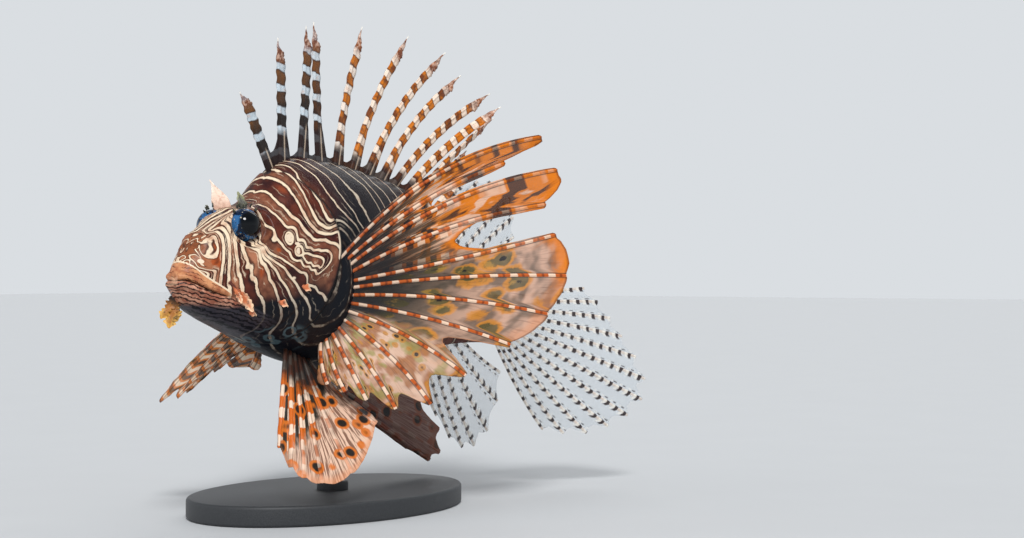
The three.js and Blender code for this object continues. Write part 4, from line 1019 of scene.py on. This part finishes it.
softDorsal = {
    "rays": 7, "lobes": [(0, 6)], "rows": 56, "between": 8, "root": -0.2, "base": backBase(168, 194),
    "azimuth": [turnAt(s) + 2 for s in (168, 178, 186, 194)], "elevation": [50, 50, 46, 38],
    "length": [30, 44, 48, 36], "bow": [0.03] * 4, "membrane": [0.96], "scallop": 1.5, "nicks": 0.02,
    "shaft": (1.4, 0.6), "skin": 0.35, "ripple": 0.3, "waves": 16, "frill": 0.1,
    "lead": even(0.7), "trail": even(0.7),
}
anal = {
    **softDorsal, "rays": 8, "lobes": [(0, 7)], "base": bellyBase(157, 190),
    "azimuth": [turnAt(157) + 2, turnAt(168) + 1, turnAt(180), turnAt(190)],
    "elevation": [-63, -64, -56, -28], "length": [22, 52, 56, 33], "bow": [-0.03] * 4,
}
caudal = {
    **softDorsal, "rays": 12, "lobes": [(0, 11)], "rows": 70, "root": -0.02,
    "base": lambda f: place(body["length"] - sunk, 0, mix(8, -10, f)),
    "azimuth": [30, 34, 36, 34, 30], "elevation": [12, -5, -20, -37, -56],
    "length": [50, 68, 88, 77, 53], "bow": [0.02, 0.01, 0, -0.01, -0.03],
}
spineStations = [55, 61, 73, 86, 97, 108, 118, 128, 137, 145, 152.5, 159, 164]
# widths of the skin before and behind a spine, where it tapers, the flag's width, place and reach,
# and the foot's width and height, with the first and last spine that has one
spineSkin = {"lead": (1.6, 1.0), "strip": (4.4, 3.0), "tip": 0.3, "taper": (0.74, 0.97),
             "flag": (1.6, 0.86, 0.07), "foot": (4, 0.3), "footed": (1, 7)}


# skin behind a spine: a strip that tapers, a ragged flag near its tip and, on most, a foot
def spineTrail(t, r):
    strip = mix(spineSkin["strip"][0], spineSkin["strip"][1], np.minimum(1, r / 5))
    size, at, reach = spineSkin["flag"]
    foot, end = spineSkin["foot"]
    footed = (r >= spineSkin["footed"][0]) & (r <= spineSkin["footed"][1])
    foot = np.where(footed, foot, 0) * np.maximum(0, (end - t) / (end + 0.1))
    taper = ease(t, *spineSkin["taper"])
    flag = size * hump(t, at, reach) * (1 + 0.6 * ragged(t * 6 + r))
    return mix(strip, spineSkin["tip"], taper) + flag * (1 - ease(t, 0.93, 0.97)) + foot


def spineLead(t, r):  # the strip before every spine, which tapers near the tip
    strip = mix(*spineSkin["lead"], np.maximum(0, t))
    return mix(strip, spineSkin["tip"], ease(t, 0.8, 0.98))


spinyDorsal = {
    "rays": 13, "lobes": [(r, r) for r in range(13)], "rows": 110, "between": 0, "root": -0.1,
    "base": lambda f: place(along(spineStations, f), 0, topAt(along(spineStations, f)) - sunk),
    "azimuth": [1, 1, 1, 1, 1, 1, 2, 2, 3, 3, 10, -5, 10],
    "elevation": [124, 97, 91, 98, 79, 63, 52, 47, 39, 37, 43.5, 42, 50],
    "length": [40, 57, 62, 65, 70, 80, 88, 84, 91, 90, 71, 53, 28],
    "bow": [0, 0, -0.01, 0.01, 0.03, 0.05, 0.06, 0.06, 0.055, 0.045, 0.035, 0.03, 0],
    "membrane": [0.19, 0.08, 0.08, 0.07, 0.07, 0.07, 0.07, 0.07, 0.07, 0.08, 0.12, 0.2],
    "scallop": 1.5, "nicks": 0, "room": 0.75, "shaft": (2.4, 0.6), "skin": 0.5, "ripple": 0, "waves": 24,
    "frill": 0.3, "lead": spineLead, "trail": spineTrail,
}


spineColours = {
    "cream": (244, 222, 202), "frost": (196, 208, 216), "rose": (206, 160, 132), "orange": (206, 116, 20),
    "brown": (120, 60, 18), "soot": (34, 24, 18), "olive": (112, 70, 34), "rim": (40, 20, 14),
    "tip": (120, 66, 46), "tipPale": (214, 176, 156), "foot": (34, 16, 16), "footLine": (206, 184, 160),
    "point": (244, 238, 228),
}


def spineMaterial():  # bands along each spine, bluer in front and orange behind, with a dark foot
    r = Recipe("spineSkin", wetSkin)
    c = palette(spineColours)
    ray, way, reach, beside = r.fields("ray", "along", "reach", "beside")
    front = r.fall(ray, 2.6, 4.6)
    bend = (r.noise(0.16, 2) - 0.5) * 0.35 + beside * 0.02
    away = r.aside(way / 9.3 + ray * 0.21 + bend) - (1 - front) * 0.04
    orange = r.colours(r.rise(r.noise(0.2, 2), 0.42, 0.62), c.orange, c.brown)
    olive = r.colours(r.rise(reach + (r.noise(0.2) - 0.5) * 0.3, 0.4, 0.8), c.soot, c.olive)
    tip = r.colours(r.rise(r.noise(0.5, 3, 0.6), 0.45, 0.6), c.tip, c.tipPale)
    foot = r.fall(reach, 0.1 + front * 0.14, 0.16 + front * 0.16)
    footCoat = r.colours(r.fall(abs(beside - 2.6), 0.25, 0.55) * 0.8, c.foot, c.footLine)
    pale = r.layers(c.cream, (front, c.frost), (r.rise(r.noise(0.35, 2), 0.5, 0.75) * 0.5, c.rose))
    coat = r.layers(pale, (r.rise(away, 0.17, 0.22), r.colours(front, orange, olive)),
                    (r.rise(away, 0.15, 0.19) * r.fall(away, 0.22, 0.29) * 0.6, c.rim),
                    (r.rise(reach, 0.78, 0.86) * 0.75, tip), (foot * 0.92, footCoat),
                    (r.rise(reach, 0.965, 0.985), c.point))
    grain = r.noise(0.9, 3, 0.6)
    return r.finish({"Base Color": coat, "Roughness": 0.4 + grain * 0.2, "Normal": r.bump(grain, 0.00025)})


def rayParts(r, span, lift):  # what all the paired fins share: place, ray mask and banding
    ray, way, reach, between = r.fields("ray", "along", "reach", "between")
    beside, atRay = abs(r.field("beside")), r.fall(between, 0.0, 0.03)
    onRay = r.fall(beside, 0.62, 0.85) * atRay
    outline = r.fall(beside, 1.0, 1.5) * atRay * (1 - onRay)
    away = r.aside(way / span + ray * 0.29 + (r.noise(0.09, 2) - 0.5) * 0.6)
    banded = r.rise(away, lift, lift + 0.05)
    middle = 1 - abs(between * 2 - 1)
    return ray, way, reach, middle, onRay, outline, banded, away


pectoralColours = {
    "ray": (240, 208, 182), "rayBand": (196, 92, 30), "rayDark": (110, 44, 18), "fan": (210, 168, 144),
    "fanDull": (128, 104, 88), "fanRoot": (54, 50, 40), "olive": (88, 78, 34), "mustard": (160, 122, 40),
    "ring": (218, 140, 44), "spot": (22, 18, 20), "lobe": (228, 180, 150), "orange": (218, 120, 6),
    "smudge": (66, 32, 14), "barPale": (236, 200, 170), "barOrange": (200, 104, 16), "barDark": (40, 22, 14),
    "web": (64, 50, 32), "webPale": (150, 112, 84), "under": (222, 184, 160), "underTan": (170, 112, 74),
    "moss": (150, 146, 70), "freckle": (196, 130, 40), "underSpot": (34, 26, 20),
    "crossPale": (252, 228, 200), "crossOrange": (224, 122, 26), "crossDark": (36, 20, 12),
    "streak": (70, 34, 20), "rim": (220, 118, 6), "margin": (70, 26, 12), "root": (14, 16, 22),
    "outline": (30, 16, 14),
}


# patterns stretched along the rays: noise and cells of (ray, distance along it / a length)
def pectoralMaterial(name, barred):
    r = Recipe(name, wetSkin)
    c = palette(pectoralColours)
    ray, way, reach, middle, onRay, outline, banded, away = rayParts(r, 9.5, 0.17)
    side = r.field("edge")
    upper, lower = r.fall(ray, 3.5, 4.3), r.rise(ray, 7.4, 8.2)
    flat = r.joined(ray, way / 12)
    wobble = r.noise(1.6, 3, 0.6, vector=flat) - 0.5
    broad = r.noise(1.1, 2, 0.5, vector=flat)
    # the fan: pink-grey skin, olive blotches with dark eyes, darker and greener near its root
    cell = r.cells(1.0, vector=r.joined(ray, way / 15)) + wobble * 0.4
    olive = r.colours(r.rise(wobble, 0.02, 0.12), c.olive, c.mustard)
    ring = r.rise(cell, 0.3, 0.37) * r.fall(cell, 0.42, 0.52) * r.rise(reach, 0.35, 0.6)
    fan = r.layers(c.fan, (r.rise(broad, 0.4, 0.62), c.fanDull),
                   (r.fall(reach, 0.34, 0.74) * 0.88, c.fanRoot), (r.fall(cell, 0.34, 0.46) * 0.85, olive),
                   (ring * 0.75, c.ring), (r.fall(cell, 0.1, 0.15) * r.rise(reach, 0.3, 0.45), c.spot))
    # the upper lobes: orange with dark brown smudges and pale pink between, barred near the root
    patch = r.noise(1.0, 2, 0.5, vector=r.joined(ray * 1.3 + way / 45, way / 17), twist=0.4)
    shred = r.noise(1.0, 2, 0.6, vector=r.joined(ray * 9 + way / 9, way / 16)) - 0.5
    bars = r.aside(way / 12 + ray * 0.21 + wobble * 0.12)
    web = r.colours(r.rise(shred, 0.0, 0.08), c.web, c.webPale)
    rootBars = r.layers(c.barPale, (r.rise(bars, 0.15, 0.19), c.barOrange),
                        (r.rise(bars, 0.34, 0.38), c.barDark), (r.rise(middle + wobble * 0.5, 0.3, 0.5), web))
    lobes = r.layers(c.lobe, (r.rise(patch + shred * 0.12, 0.4, 0.46), c.orange),
                     (r.rise(patch + shred * 0.2, 0.53, 0.6) * 0.95, c.smudge),
                     (r.fall(reach + shred * 0.4, 0.36, 0.56) * 0.9, rootBars))
    # the lower rays: pale, mottled with dark and orange spots, or barred across
    speck = r.cells(2.0, vector=flat) + wobble * 0.3
    cross = r.aside(way / 8.5 + ray * 0.2 + wobble * 0.2)
    crossBars = r.layers(c.crossPale, (r.rise(cross, 0.13, 0.17), c.crossOrange),
                         (r.rise(cross, 0.31, 0.36), c.crossDark))
    under = r.layers(c.under, (r.rise(broad, 0.42, 0.6), c.underTan),
                     (r.rise(r.noise(1.4, 2, vector=flat), 0.5, 0.62) * 0.7, c.moss),
                     (r.fall(speck, 0.3, 0.4) * 0.8, c.freckle), (r.fall(speck, 0.16, 0.24), c.underSpot),
                     (barred, crossBars))
    # all together, with streaks, a golden rim, a dark root and the rays on top
    streak = r.noise(1.0, 2, 0.6, vector=r.joined(ray * 16, way / 14))
    rim = r.rise(side + wobble * 0.12, 0.9, 0.97) * (1 - r.rise(ray, 4.9, 5.5) * 0.65)
    root = r.fall(reach + wobble * 0.1, 0.14 - lower * 0.1, 0.46 - lower * 0.2)
    shown = (1 - root * 0.25) * (1 - upper * r.rise(reach, 0.4, 0.7) * 0.75) * (1 - lower * barred)
    rayCoat = r.layers(c.ray, (banded, c.rayBand), (r.rise(away, 0.4, 0.47) * 0.7, c.rayDark))
    coat = r.layers(fan, (upper, lobes), (lower * 0.9, under), (r.rise(streak, 0.55, 0.7) * 0.35, c.streak),
                    (rim * 0.85 * (1 - lower * 0.7), c.rim), (r.rise(side, 0.985, 0.995) * 0.5, c.margin),
                    (root * 0.94, c.root), (outline * 0.7, c.outline), (onRay * shown, rayCoat))
    alpha = 0.95 - (1 - onRay) * (1 - rim) * r.rise(reach, 0.4, 0.8) * 0.18
    return r.finish({"Base Color": coat, "Alpha": alpha, "Roughness": 0.4 + streak * 0.2,
                     "Normal": r.bump(streak + r.field("ridge") * 0.3, 0.0005)})


pelvicColours = {
    "ray": (240, 212, 188), "rayBand": (208, 100, 10), "block": (236, 206, 180), "orange": (212, 104, 8),
    "middle": (36, 30, 18), "pale": (228, 190, 164), "streak": (104, 58, 38), "ring": (210, 108, 14),
    "spot": (28, 20, 12), "outline": (60, 26, 12), "root": (22, 14, 14), "margin": (214, 140, 96),
    "shade": (44, 24, 26), "shadePale": (110, 70, 70), "shadeSpot": (16, 12, 16),
}


def pelvicMaterial(name, paintedShade):  # blocks along the inner rays, ringed spots and a paler outer half; the second argument lays painted shade over it all
    r = Recipe(name, wetSkin)
    c = palette(pelvicColours)
    ray, way, reach, middle, onRay, outline, banded, away = rayParts(r, 11, 0.2)
    wobble = r.noise(2.0, 2, 0.6, vector=r.joined(ray, way / 9.5)) - 0.5
    streak = r.noise(1.0, 2, 0.6, vector=r.joined(ray * 13, way / 16))
    cell = r.cells(0.112, spread=0.9) + wobble * 0.12
    outer = r.rise(reach + ray * 0.13 + wobble * 0.25, 0.92, 1.08)
    inner = r.layers(c.block, (r.rise(away + wobble * 0.06, 0.16, 0.2), c.orange),
                     (r.rise(middle + wobble * 0.4, 0.35, 0.55), c.middle))
    pale = r.colours(r.rise(streak, 0.46, 0.57) * 0.85, c.pale, c.streak)
    # painted shade: a darker copy of the pattern for the far fin, which lies in shadow
    shade = r.colours(r.fall(cell, 0.24, 0.32), r.colours(streak, c.shade, c.shadePale), c.shadeSpot)
    coat = r.layers(inner, (outer, pale), (r.fall(cell, 0.35, 0.43) * 0.92, c.ring),
                    (r.fall(cell, 0.2, 0.3), c.spot), (outline * 0.4, c.outline),
                    (onRay * (1 - outer * 0.6), r.colours(banded, c.ray, c.rayBand)),
                    (r.fall(reach + wobble * 0.2, 0.22, 0.42) * 0.95, c.root),
                    (r.rise(r.field("edge"), 0.93, 0.99) * outer * 0.6, c.margin), (paintedShade, shade))
    return r.finish({"Base Color": coat, "Alpha": 0.95, "Roughness": 0.42 + streak * 0.2,
                     "Normal": r.bump(streak, 0.0005)})


clearColours = {"film": (196, 204, 210), "ray": (224, 206, 190), "dash": (240, 236, 226), "dot": (44, 26, 26)}


def clearMaterial():  # clear film with rows of dark dots and pale dashes beside the rays
    r = Recipe("clearFinSkin", {"Coat Weight": 0.3, "Coat Roughness": 0.15})
    c = palette(clearColours)
    ray, way, between = r.fields("ray", "along", "between")
    onRay = r.fall(abs(r.field("beside")), 0.55, 0.9) * r.fall(between, 0.0, 0.03)
    nearRay = r.fall(r.least(between, 1 - between), 0.1, 0.26)
    dots = r.fall(r.aside(way / 5.4 + r.noise(0.3) * 0.3 + ray * 0.5), 0.13, 0.2) * nearRay
    dash = r.rise(r.aside(way / 5.4 + ray * 0.5), 0.3, 0.4) * nearRay
    coat = r.layers(c.film, (onRay * 0.8, c.ray), (dash * 0.8, c.dash), (dots, c.dot))
    alpha = r.most(r.most(onRay * 0.75, dots * 0.85), r.most(dash * 0.6, 0.28))
    return r.finish({"Base Color": coat, "Alpha": alpha, "Roughness": 0.3 + r.noise(0.8) * 0.15,
                     "Normal": r.bump(r.noise(0.9, 2), 0.0003, 0.5)})


clearPaint = clearMaterial()
# name, sizes, material, slot and the solid that each fin replaces
fins = [
    ("dorsal_spines", spinyDorsal, spineMaterial(), "spine_skin", "spiny_dorsal_fin"),
    ("pectoral_left", pectoralLeft, pectoralMaterial("pectoralSkin", 0.0), "pectoral_skin",
     "pectoral_fin_left"),
    ("pectoral_right", pectoralRight, pectoralMaterial("barredPectoralSkin", 0.85), "pectoral_skin",
     "pectoral_fin_right"),
    ("pelvic_left", pelvicLeft, pelvicMaterial("pelvicSkin", 0.0), "pelvic_skin", "pelvic_fin_left"),
    # the far pelvic fin, with 0.8 of painted shade
    ("pelvic_right", pelvicRight, pelvicMaterial("shadedPelvicSkin", 0.8), "pelvic_skin", "pelvic_fin_right"),
    ("soft_dorsal", softDorsal, clearPaint, "clear_fin", "soft_dorsal_fin"),
    ("anal_sail", anal, clearPaint, "clear_fin", "anal_fin"),
    ("tail_fan", caudal, clearPaint, "clear_fin", "caudal_fin"),
]
for row in fins:
    makeFin(*row)

# leaves of skin: over the eyes, beside the mouth and on the cheeks

# root + direction·reach + face·curl + across·lean·t²; half as wide as its profile, lobed at the sides
def leafShell(root, direction, across, size, steps=44, columns=22):
    direction, across = unit(np.array(direction, float)), np.array(across, float)
    across = unit(across - direction * dot(across, direction))
    face = unit(np.cross(direction, across))
    t = np.linspace(0, 1, steps)[None, :]
    u = np.linspace(-1, 1, columns)[:, None]
    reach = mix(-size["sink"], size["length"], t)
    notches = np.abs(np.sin(t * size["lobes"] * math.pi + u)) - 0.6
    lobes = 1 + size["frill"] * notches * (1 - 0.5 * t)
    half = along(size["profile"], t) * lobes
    curl = size["droop"] / 2 * np.maximum(0, reach) * t
    wave = size["wave"] * np.sin(t * size["waves"] + u * size["slant"]) * t * np.abs(u)
    centre = root + direction * reach[..., None] + across * (half * u + size["lean"] * t ** 2)[..., None]
    centre = centre + face * (curl + wave)[..., None]
    thick = size["thick"] * (1 - size["tipThin"] * t) * (1 - size["sideThin"] * u ** 2)
    return sheetShell(centre, np.broadcast_to(face, centre.shape), thick, {"reach": t, "beside": u})


leafAcross = (0.6, -0.8, 0)  # the way a leaf's width lies, nearly square to the view
frilled = {"droop": 0.3, "sink": 2.5, "thick": 0.9, "tipThin": 0.55, "sideThin": 0.6, "frill": 0.6,
           "lobes": 4, "lean": 0, "wave": 0.8, "waves": 11, "slant": 2.2}
leaves = {
    "browLeft": {**frilled, "length": 8, "profile": [1.6, 1.9, 1.8, 1.5, 0.3], "lean": -3.2, "wave": 0.3},
    "browRight": {**frilled, "length": 14.4, "profile": [2.4, 3.4, 3.9, 3.5, 2.3, 0.9, 0.2], "lean": -4.8,
                  "frill": 0.08, "lobes": 2, "wave": 0.3, "sink": 3},
    "cirrusLeft": {**frilled, "length": 13.5, "profile": [0.6, 0.6, 0.9, 1.7, 1.8, 0.3], "lobes": 7,
                   "wave": 0.6},
    "cirrusRight": {**frilled, "length": 12, "profile": [1.2, 1.9, 2.6, 1.8, 2.6, 0.3], "lobes": 7,
                    "frill": 0.9},
    "cheek": {**frilled, "droop": 0.9, "sink": 2, "thick": 0.7, "profile": [0.7, 0.8, 1.5, 0.3], "lobes": 3},
}
leafColours = {
    "paleTentacle": {"root": (206, 160, 136), "middle": (240, 206, 184), "tip": (248, 226, 208)},
    "darkFlap": {"root": (30, 40, 34), "middle": (52, 50, 34), "tip": (150, 150, 110)},
    "goldenCirrus": {"root": (52, 30, 12), "middle": (160, 98, 26), "tip": (222, 172, 80)},
    "roseCirrus": {"root": (96, 40, 24), "middle": (214, 118, 70), "tip": (246, 206, 168)},
}


def leafMaterial(name):  # root to tip in three tones, mottled with the root's
    r = Recipe(name, {"Coat Weight": 0.1, "Coat Roughness": 0.3})
    c = palette(leafColours[name])
    reach, side = r.field("reach"), abs(r.field("beside"))
    mottle = r.noise(0.45, 3, 0.6)
    coat = r.layers(c.root, (r.rise(reach + (mottle - 0.5) * 0.5, 0.15, 0.5), c.middle),
                    (r.rise(reach + side * 0.3 + (mottle - 0.5) * 0.6, 0.7, 1.1), c.tip),
                    (r.rise(mottle, 0.56, 0.64) * 0.7, c.root))
    return r.finish({"Base Color": coat, "Roughness": 0.4 + mottle * 0.25, "Normal": r.bump(mottle, 0.0004)})


flapPaint, rosePaint = leafMaterial("darkFlap"), leafMaterial("roseCirrus")
leftCorner, rightCorner = sidePoint(20, -1, -1), sidePoint(5.5, -8, 1)
browLeft = leafShell(np.array([32, -7, 32]), (0, 0, 1), leafAcross, leaves["browLeft"])
browRight = leafShell(np.array([34, 6.5, 32]), (-0.15, 0.1, 1), leafAcross, leaves["browRight"])
makePiece("brow_leaf_left", [browLeft], flapPaint, ("brow_tentacle_left",))
makePiece("brow_leaf_right", [browRight], leafMaterial("paleTentacle"),
          ("brow_tentacle_right",))


# a bunch of leaves from one root: each turned by a little in three directions and scaled
def tuft(root, direction, size, turns):
    shells = []
    for (x, y, z), scale in turns:
        grown = {**size, "length": size["length"] * scale, "profile": [v * scale for v in size["profile"]]}
        shells.append(leafShell(root, unit(np.array(direction, float)) + (x, y, z), leafAcross, grown))
    return shells


makePiece("cirrus_left", tuft(leftCorner, (0.75, -0.35, -0.75), leaves["cirrusLeft"],
                              [((0, 0, 0), 1), ((0.25, 0.1, 0.15), 0.75), ((-0.2, 0, -0.2), 0.6)]),
          rosePaint, ("mouth_cirrus_left",))
makePiece("cirrus_right", tuft(rightCorner, (0, 0.12, -1), leaves["cirrusRight"],
                               [((0, 0, 0), 1), ((-0.3, 0.3, 0.1), 0.8), ((0.3, -0.25, 0), 0.7)]),
          leafMaterial("goldenCirrus"), ("mouth_cirrus_right",))


cheeks = {"flaps": [(41, -5.6, 4.4), (52.5, 1.9, 4), (30, -11, 3)],  # station, height and length of each
          "back": (0.75, 0, -0.35), "outward": 0.8}


def cheekShell(x, z, length, side):  # a leaf along back + outward·(the skin's normal)
    root = sidePoint(x, z, side)
    out = unit(sidePoint(x, z, side, 1.0) - root)
    direction = unit(np.array(cheeks["back"]) + cheeks["outward"] * out)
    size = {**leaves["cheek"], "length": length}
    return leafShell(root, direction, np.cross(direction, out), size, steps=24, columns=14)


cheekShells = [cheekShell(*flap, side) for side in (-1, 1) for flap in cheeks["flaps"]]
makePiece("cheek_flaps", cheekShells, rosePaint)
# seeded: how many over each eye, and the least and most of each measure
cones = {"seed": 7, "count": 13, "turn": 0.9, "away": (7.4, 8.8), "lift": (1.0, 2.2), "outward": 0.5,
         "lean": 0.25, "radius": (0.35, 0.6), "tip": 0.04, "length": (1.2, 2.4), "sunk": 0.3, "cap": 0.05,
         "rows": 9, "sides": 10}


# papillae: small blunt cones over each eye, a profile r = base·(1 - t)^0.6 along a straight line
def papillae():
    rng = np.random.default_rng(cones["seed"])
    t = np.linspace(0, 1, cones["rows"])[:, None]
    a = np.arange(cones["sides"])[None, :] * 2 * math.pi / cones["sides"]
    reach = np.append(np.repeat(t.ravel(), cones["sides"]), [0, 1])
    shells = []
    for side in (-1, 1):
        centre, axis = eyeCentre(side), eyeAxis(side)
        upward = unit(np.array([0, 0, 1]) - axis * axis[2])
        forward = np.cross(upward, axis) * -side
        for _ in range(cones["count"]):
            turn = rng.uniform(-cones["turn"], cones["turn"])
            way = upward * math.cos(turn) + forward * math.sin(turn)
            root = centre + way * rng.uniform(*cones["away"]) + axis * rng.uniform(*cones["lift"])
            rise = unit(way + axis * cones["outward"] + rng.normal(0, cones["lean"], 3))
            first = unit(np.cross(rise, (0.3, 0.5, 0.8)))
            second = np.cross(rise, first)
            radius = rng.uniform(*cones["radius"]) * (1 - t) ** 0.6 + cones["tip"]
            length = rng.uniform(*cones["length"])
            ring = (np.cos(a) * radius)[..., None] * first + (np.sin(a) * radius)[..., None] * second
            foot, top = -cones["sunk"] - cones["cap"], 1 - cones["sunk"] + cones["cap"]
            points, faces = closedTube(root + rise * ((t - cones["sunk"]) * length)[..., None] + ring,
                                       root + rise * length * foot, root + rise * length * top)
            shells.append((toWorld(points), faces, {"reach": reach, "beside": 0 * reach}))
    return shells


makePiece("eye_papillae", papillae(), flapPaint)
print("leaves and papillae built")

# stand: a rounded oval plate with a collar, and a brushed rod

stand = {"length": 150, "width": 100, "thickness": 9, "edge": 1.5, "rodRadius": 3, "collarRadius": 7,
         "collarHeight": 4, "collarEdge": 1, "rodSide": -2.5, "gap": 0.3, "rodTop": 92}


def turnedShell(profile, rx, ry, y, columns):  # rings of (inset, z) round an ellipse
    inset, z = np.array(profile, float).T[:, :, None]
    a = np.arange(columns)[None, :] * 2 * math.pi / columns
    grid = vectors((rx - inset) * np.cos(a), y + (ry - inset) * np.sin(a), z + 0 * a)
    points, faces = closedTube(grid, (0, y, profile[0][1]), (0, y, profile[-1][1]))
    return points / 1000, faces, {}


def rounded(edge, z0, z1, steps=7):  # a wall from z0 to z1 with a quarter circle at each end
    a = np.linspace(0, math.pi / 2, steps)
    low = [(edge * (1 - math.sin(v)), z0 + edge * (1 - math.cos(v))) for v in a]
    high = [(edge * (1 - math.cos(v)), z1 - edge + edge * math.sin(v)) for v in a]
    return low + high


plate = rounded(stand["edge"], 0, stand["thickness"])
collar = rounded(stand["collarEdge"], stand["thickness"] - 1, stand["thickness"] + stand["collarHeight"])
rodFoot = stand["thickness"] + stand["collarHeight"] + stand["gap"]
rod = [(0.25, rodFoot), (0, rodFoot + 0.25), *((0, z) for z in np.linspace(rodFoot + 2, stand["rodTop"], 8))]


standColours = {"paint": (36, 38, 41), "worn": (50, 52, 55), "scuff": (70, 70, 70), "steel": (150, 152, 154),
                "steelPale": (186, 188, 190)}


def standMaterials():  # matt paint with faint scuffs, and steel brushed round the rod
    c = palette(standColours)
    r = Recipe("standPaint", {"Coat Weight": 0.1, "Coat Roughness": 0.4})
    grain = r.noise(1.4, 4, 0.7)
    coat = r.layers(c.paint, (r.rise(grain, 0.3, 0.75), c.worn),
                    (r.rise(r.noise(0.05, 4, 0.6), 0.62, 0.75) * 0.4, c.scuff))
    painted = r.finish({"Base Color": coat, "Roughness": 0.5 + grain * 0.2,
                        "Normal": r.bump(grain, 0.0002, 0.5)})
    r = Recipe("brushedSteel", {"Metallic": 1.0})
    fine = r.node("ShaderNodeVectorMath", {"operation": "MULTIPLY"}, {0: r.place, 1: (0.6, 0.6, 9)})
    brushed = r.noise(1.0, 3, 0.6, vector=fine)
    return painted, r.finish({"Base Color": r.colours(brushed, c.steel, c.steelPale),
                              "Roughness": 0.24 + brushed * 0.16, "Normal": r.bump(brushed, 0.00008, 0.5)})


standPaint, steelPaint = standMaterials()
plateShell = turnedShell(plate, stand["length"] / 2, stand["width"] / 2, 0, 160)
collarShell = turnedShell(collar, stand["collarRadius"], stand["collarRadius"], stand["rodSide"], 64)
rodShell = turnedShell(rod, stand["rodRadius"], stand["rodRadius"], stand["rodSide"], 48)
makePiece("stand_plate", [plateShell, collarShell], standPaint, ("stand_base",))
makePiece("stand_post", [rodShell], steelPaint, ("stand_rod",))
print("stand built")

# floor, light and air

studio = {"floor": (190, 192, 194), "floorPale": (193, 195, 197), "reach": 6.0, "horizon": (0.70, 0.73, 0.76),
          "zenith": (0.3, 0.32, 0.34), "dims": (0.16, 0.6),
          # suns: turn about x and z in degrees, spread in degrees, strength
          "suns": [("key", (44, -48), 16, 2.6), ("fill", (62, -128), 60, 0.35), ("back", (50, 110), 40, 0.8)]}
far = studio["reach"]
floorMesh = bpy.data.meshes.new("floor")
floorMesh.from_pydata([(-far, -far, 0), (far, -far, 0), (far, far, 0), (-far, far, 0)], [], [(0, 1, 2, 3)])
r = Recipe("floorPaint", {"Roughness": 0.9})
floorCoat = r.colours(r.noise(0.02, 2), paint(*studio["floor"]), paint(*studio["floorPale"]))
floorMesh.materials.append(r.finish({"Base Color": floorCoat}))
floorPiece = bpy.data.objects.new("floor", floorMesh)
bpy.context.scene.collection.objects.link(floorPiece)

# the air: one pale tone near the horizon, dimmer overhead so that the sun models the form
air = bpy.data.worlds.new("air")
air.use_nodes = True
airTree = air.node_tree
upward = airTree.nodes.new("ShaderNodeTexCoord")
parts = airTree.nodes.new("ShaderNodeSeparateXYZ")
rise = airTree.nodes.new("ShaderNodeMapRange")
rise.inputs["From Min"].default_value, rise.inputs["From Max"].default_value = studio["dims"]
tone = airTree.nodes.new("ShaderNodeMix")
tone.data_type = "RGBA"
tone.inputs[6].default_value, tone.inputs[7].default_value = (*studio["horizon"], 1), (*studio["zenith"], 1)
for start, end in ((upward.outputs["Generated"], parts.inputs[0]), (parts.outputs["Z"], rise.inputs[0]),
                   (rise.outputs[0], tone.inputs[0]),
                   (tone.outputs[2], airTree.nodes["Background"].inputs[0])):
    airTree.links.new(start, end)
bpy.context.scene.world = air

for name, (tilt, turn), spread, power in studio["suns"]:
    lamp = bpy.data.lights.new(name, "SUN")
    lamp.angle, lamp.energy = math.radians(spread), power
    holder = bpy.data.objects.new(name, lamp)
    holder.rotation_euler = (math.radians(tilt), 0, math.radians(turn))
    holder.location = (0, 0, 1)
    bpy.context.scene.collection.objects.link(holder)
bpy.context.scene.view_settings.view_transform = "Standard"
print("studio lit")

bpy.context.view_layer.update()
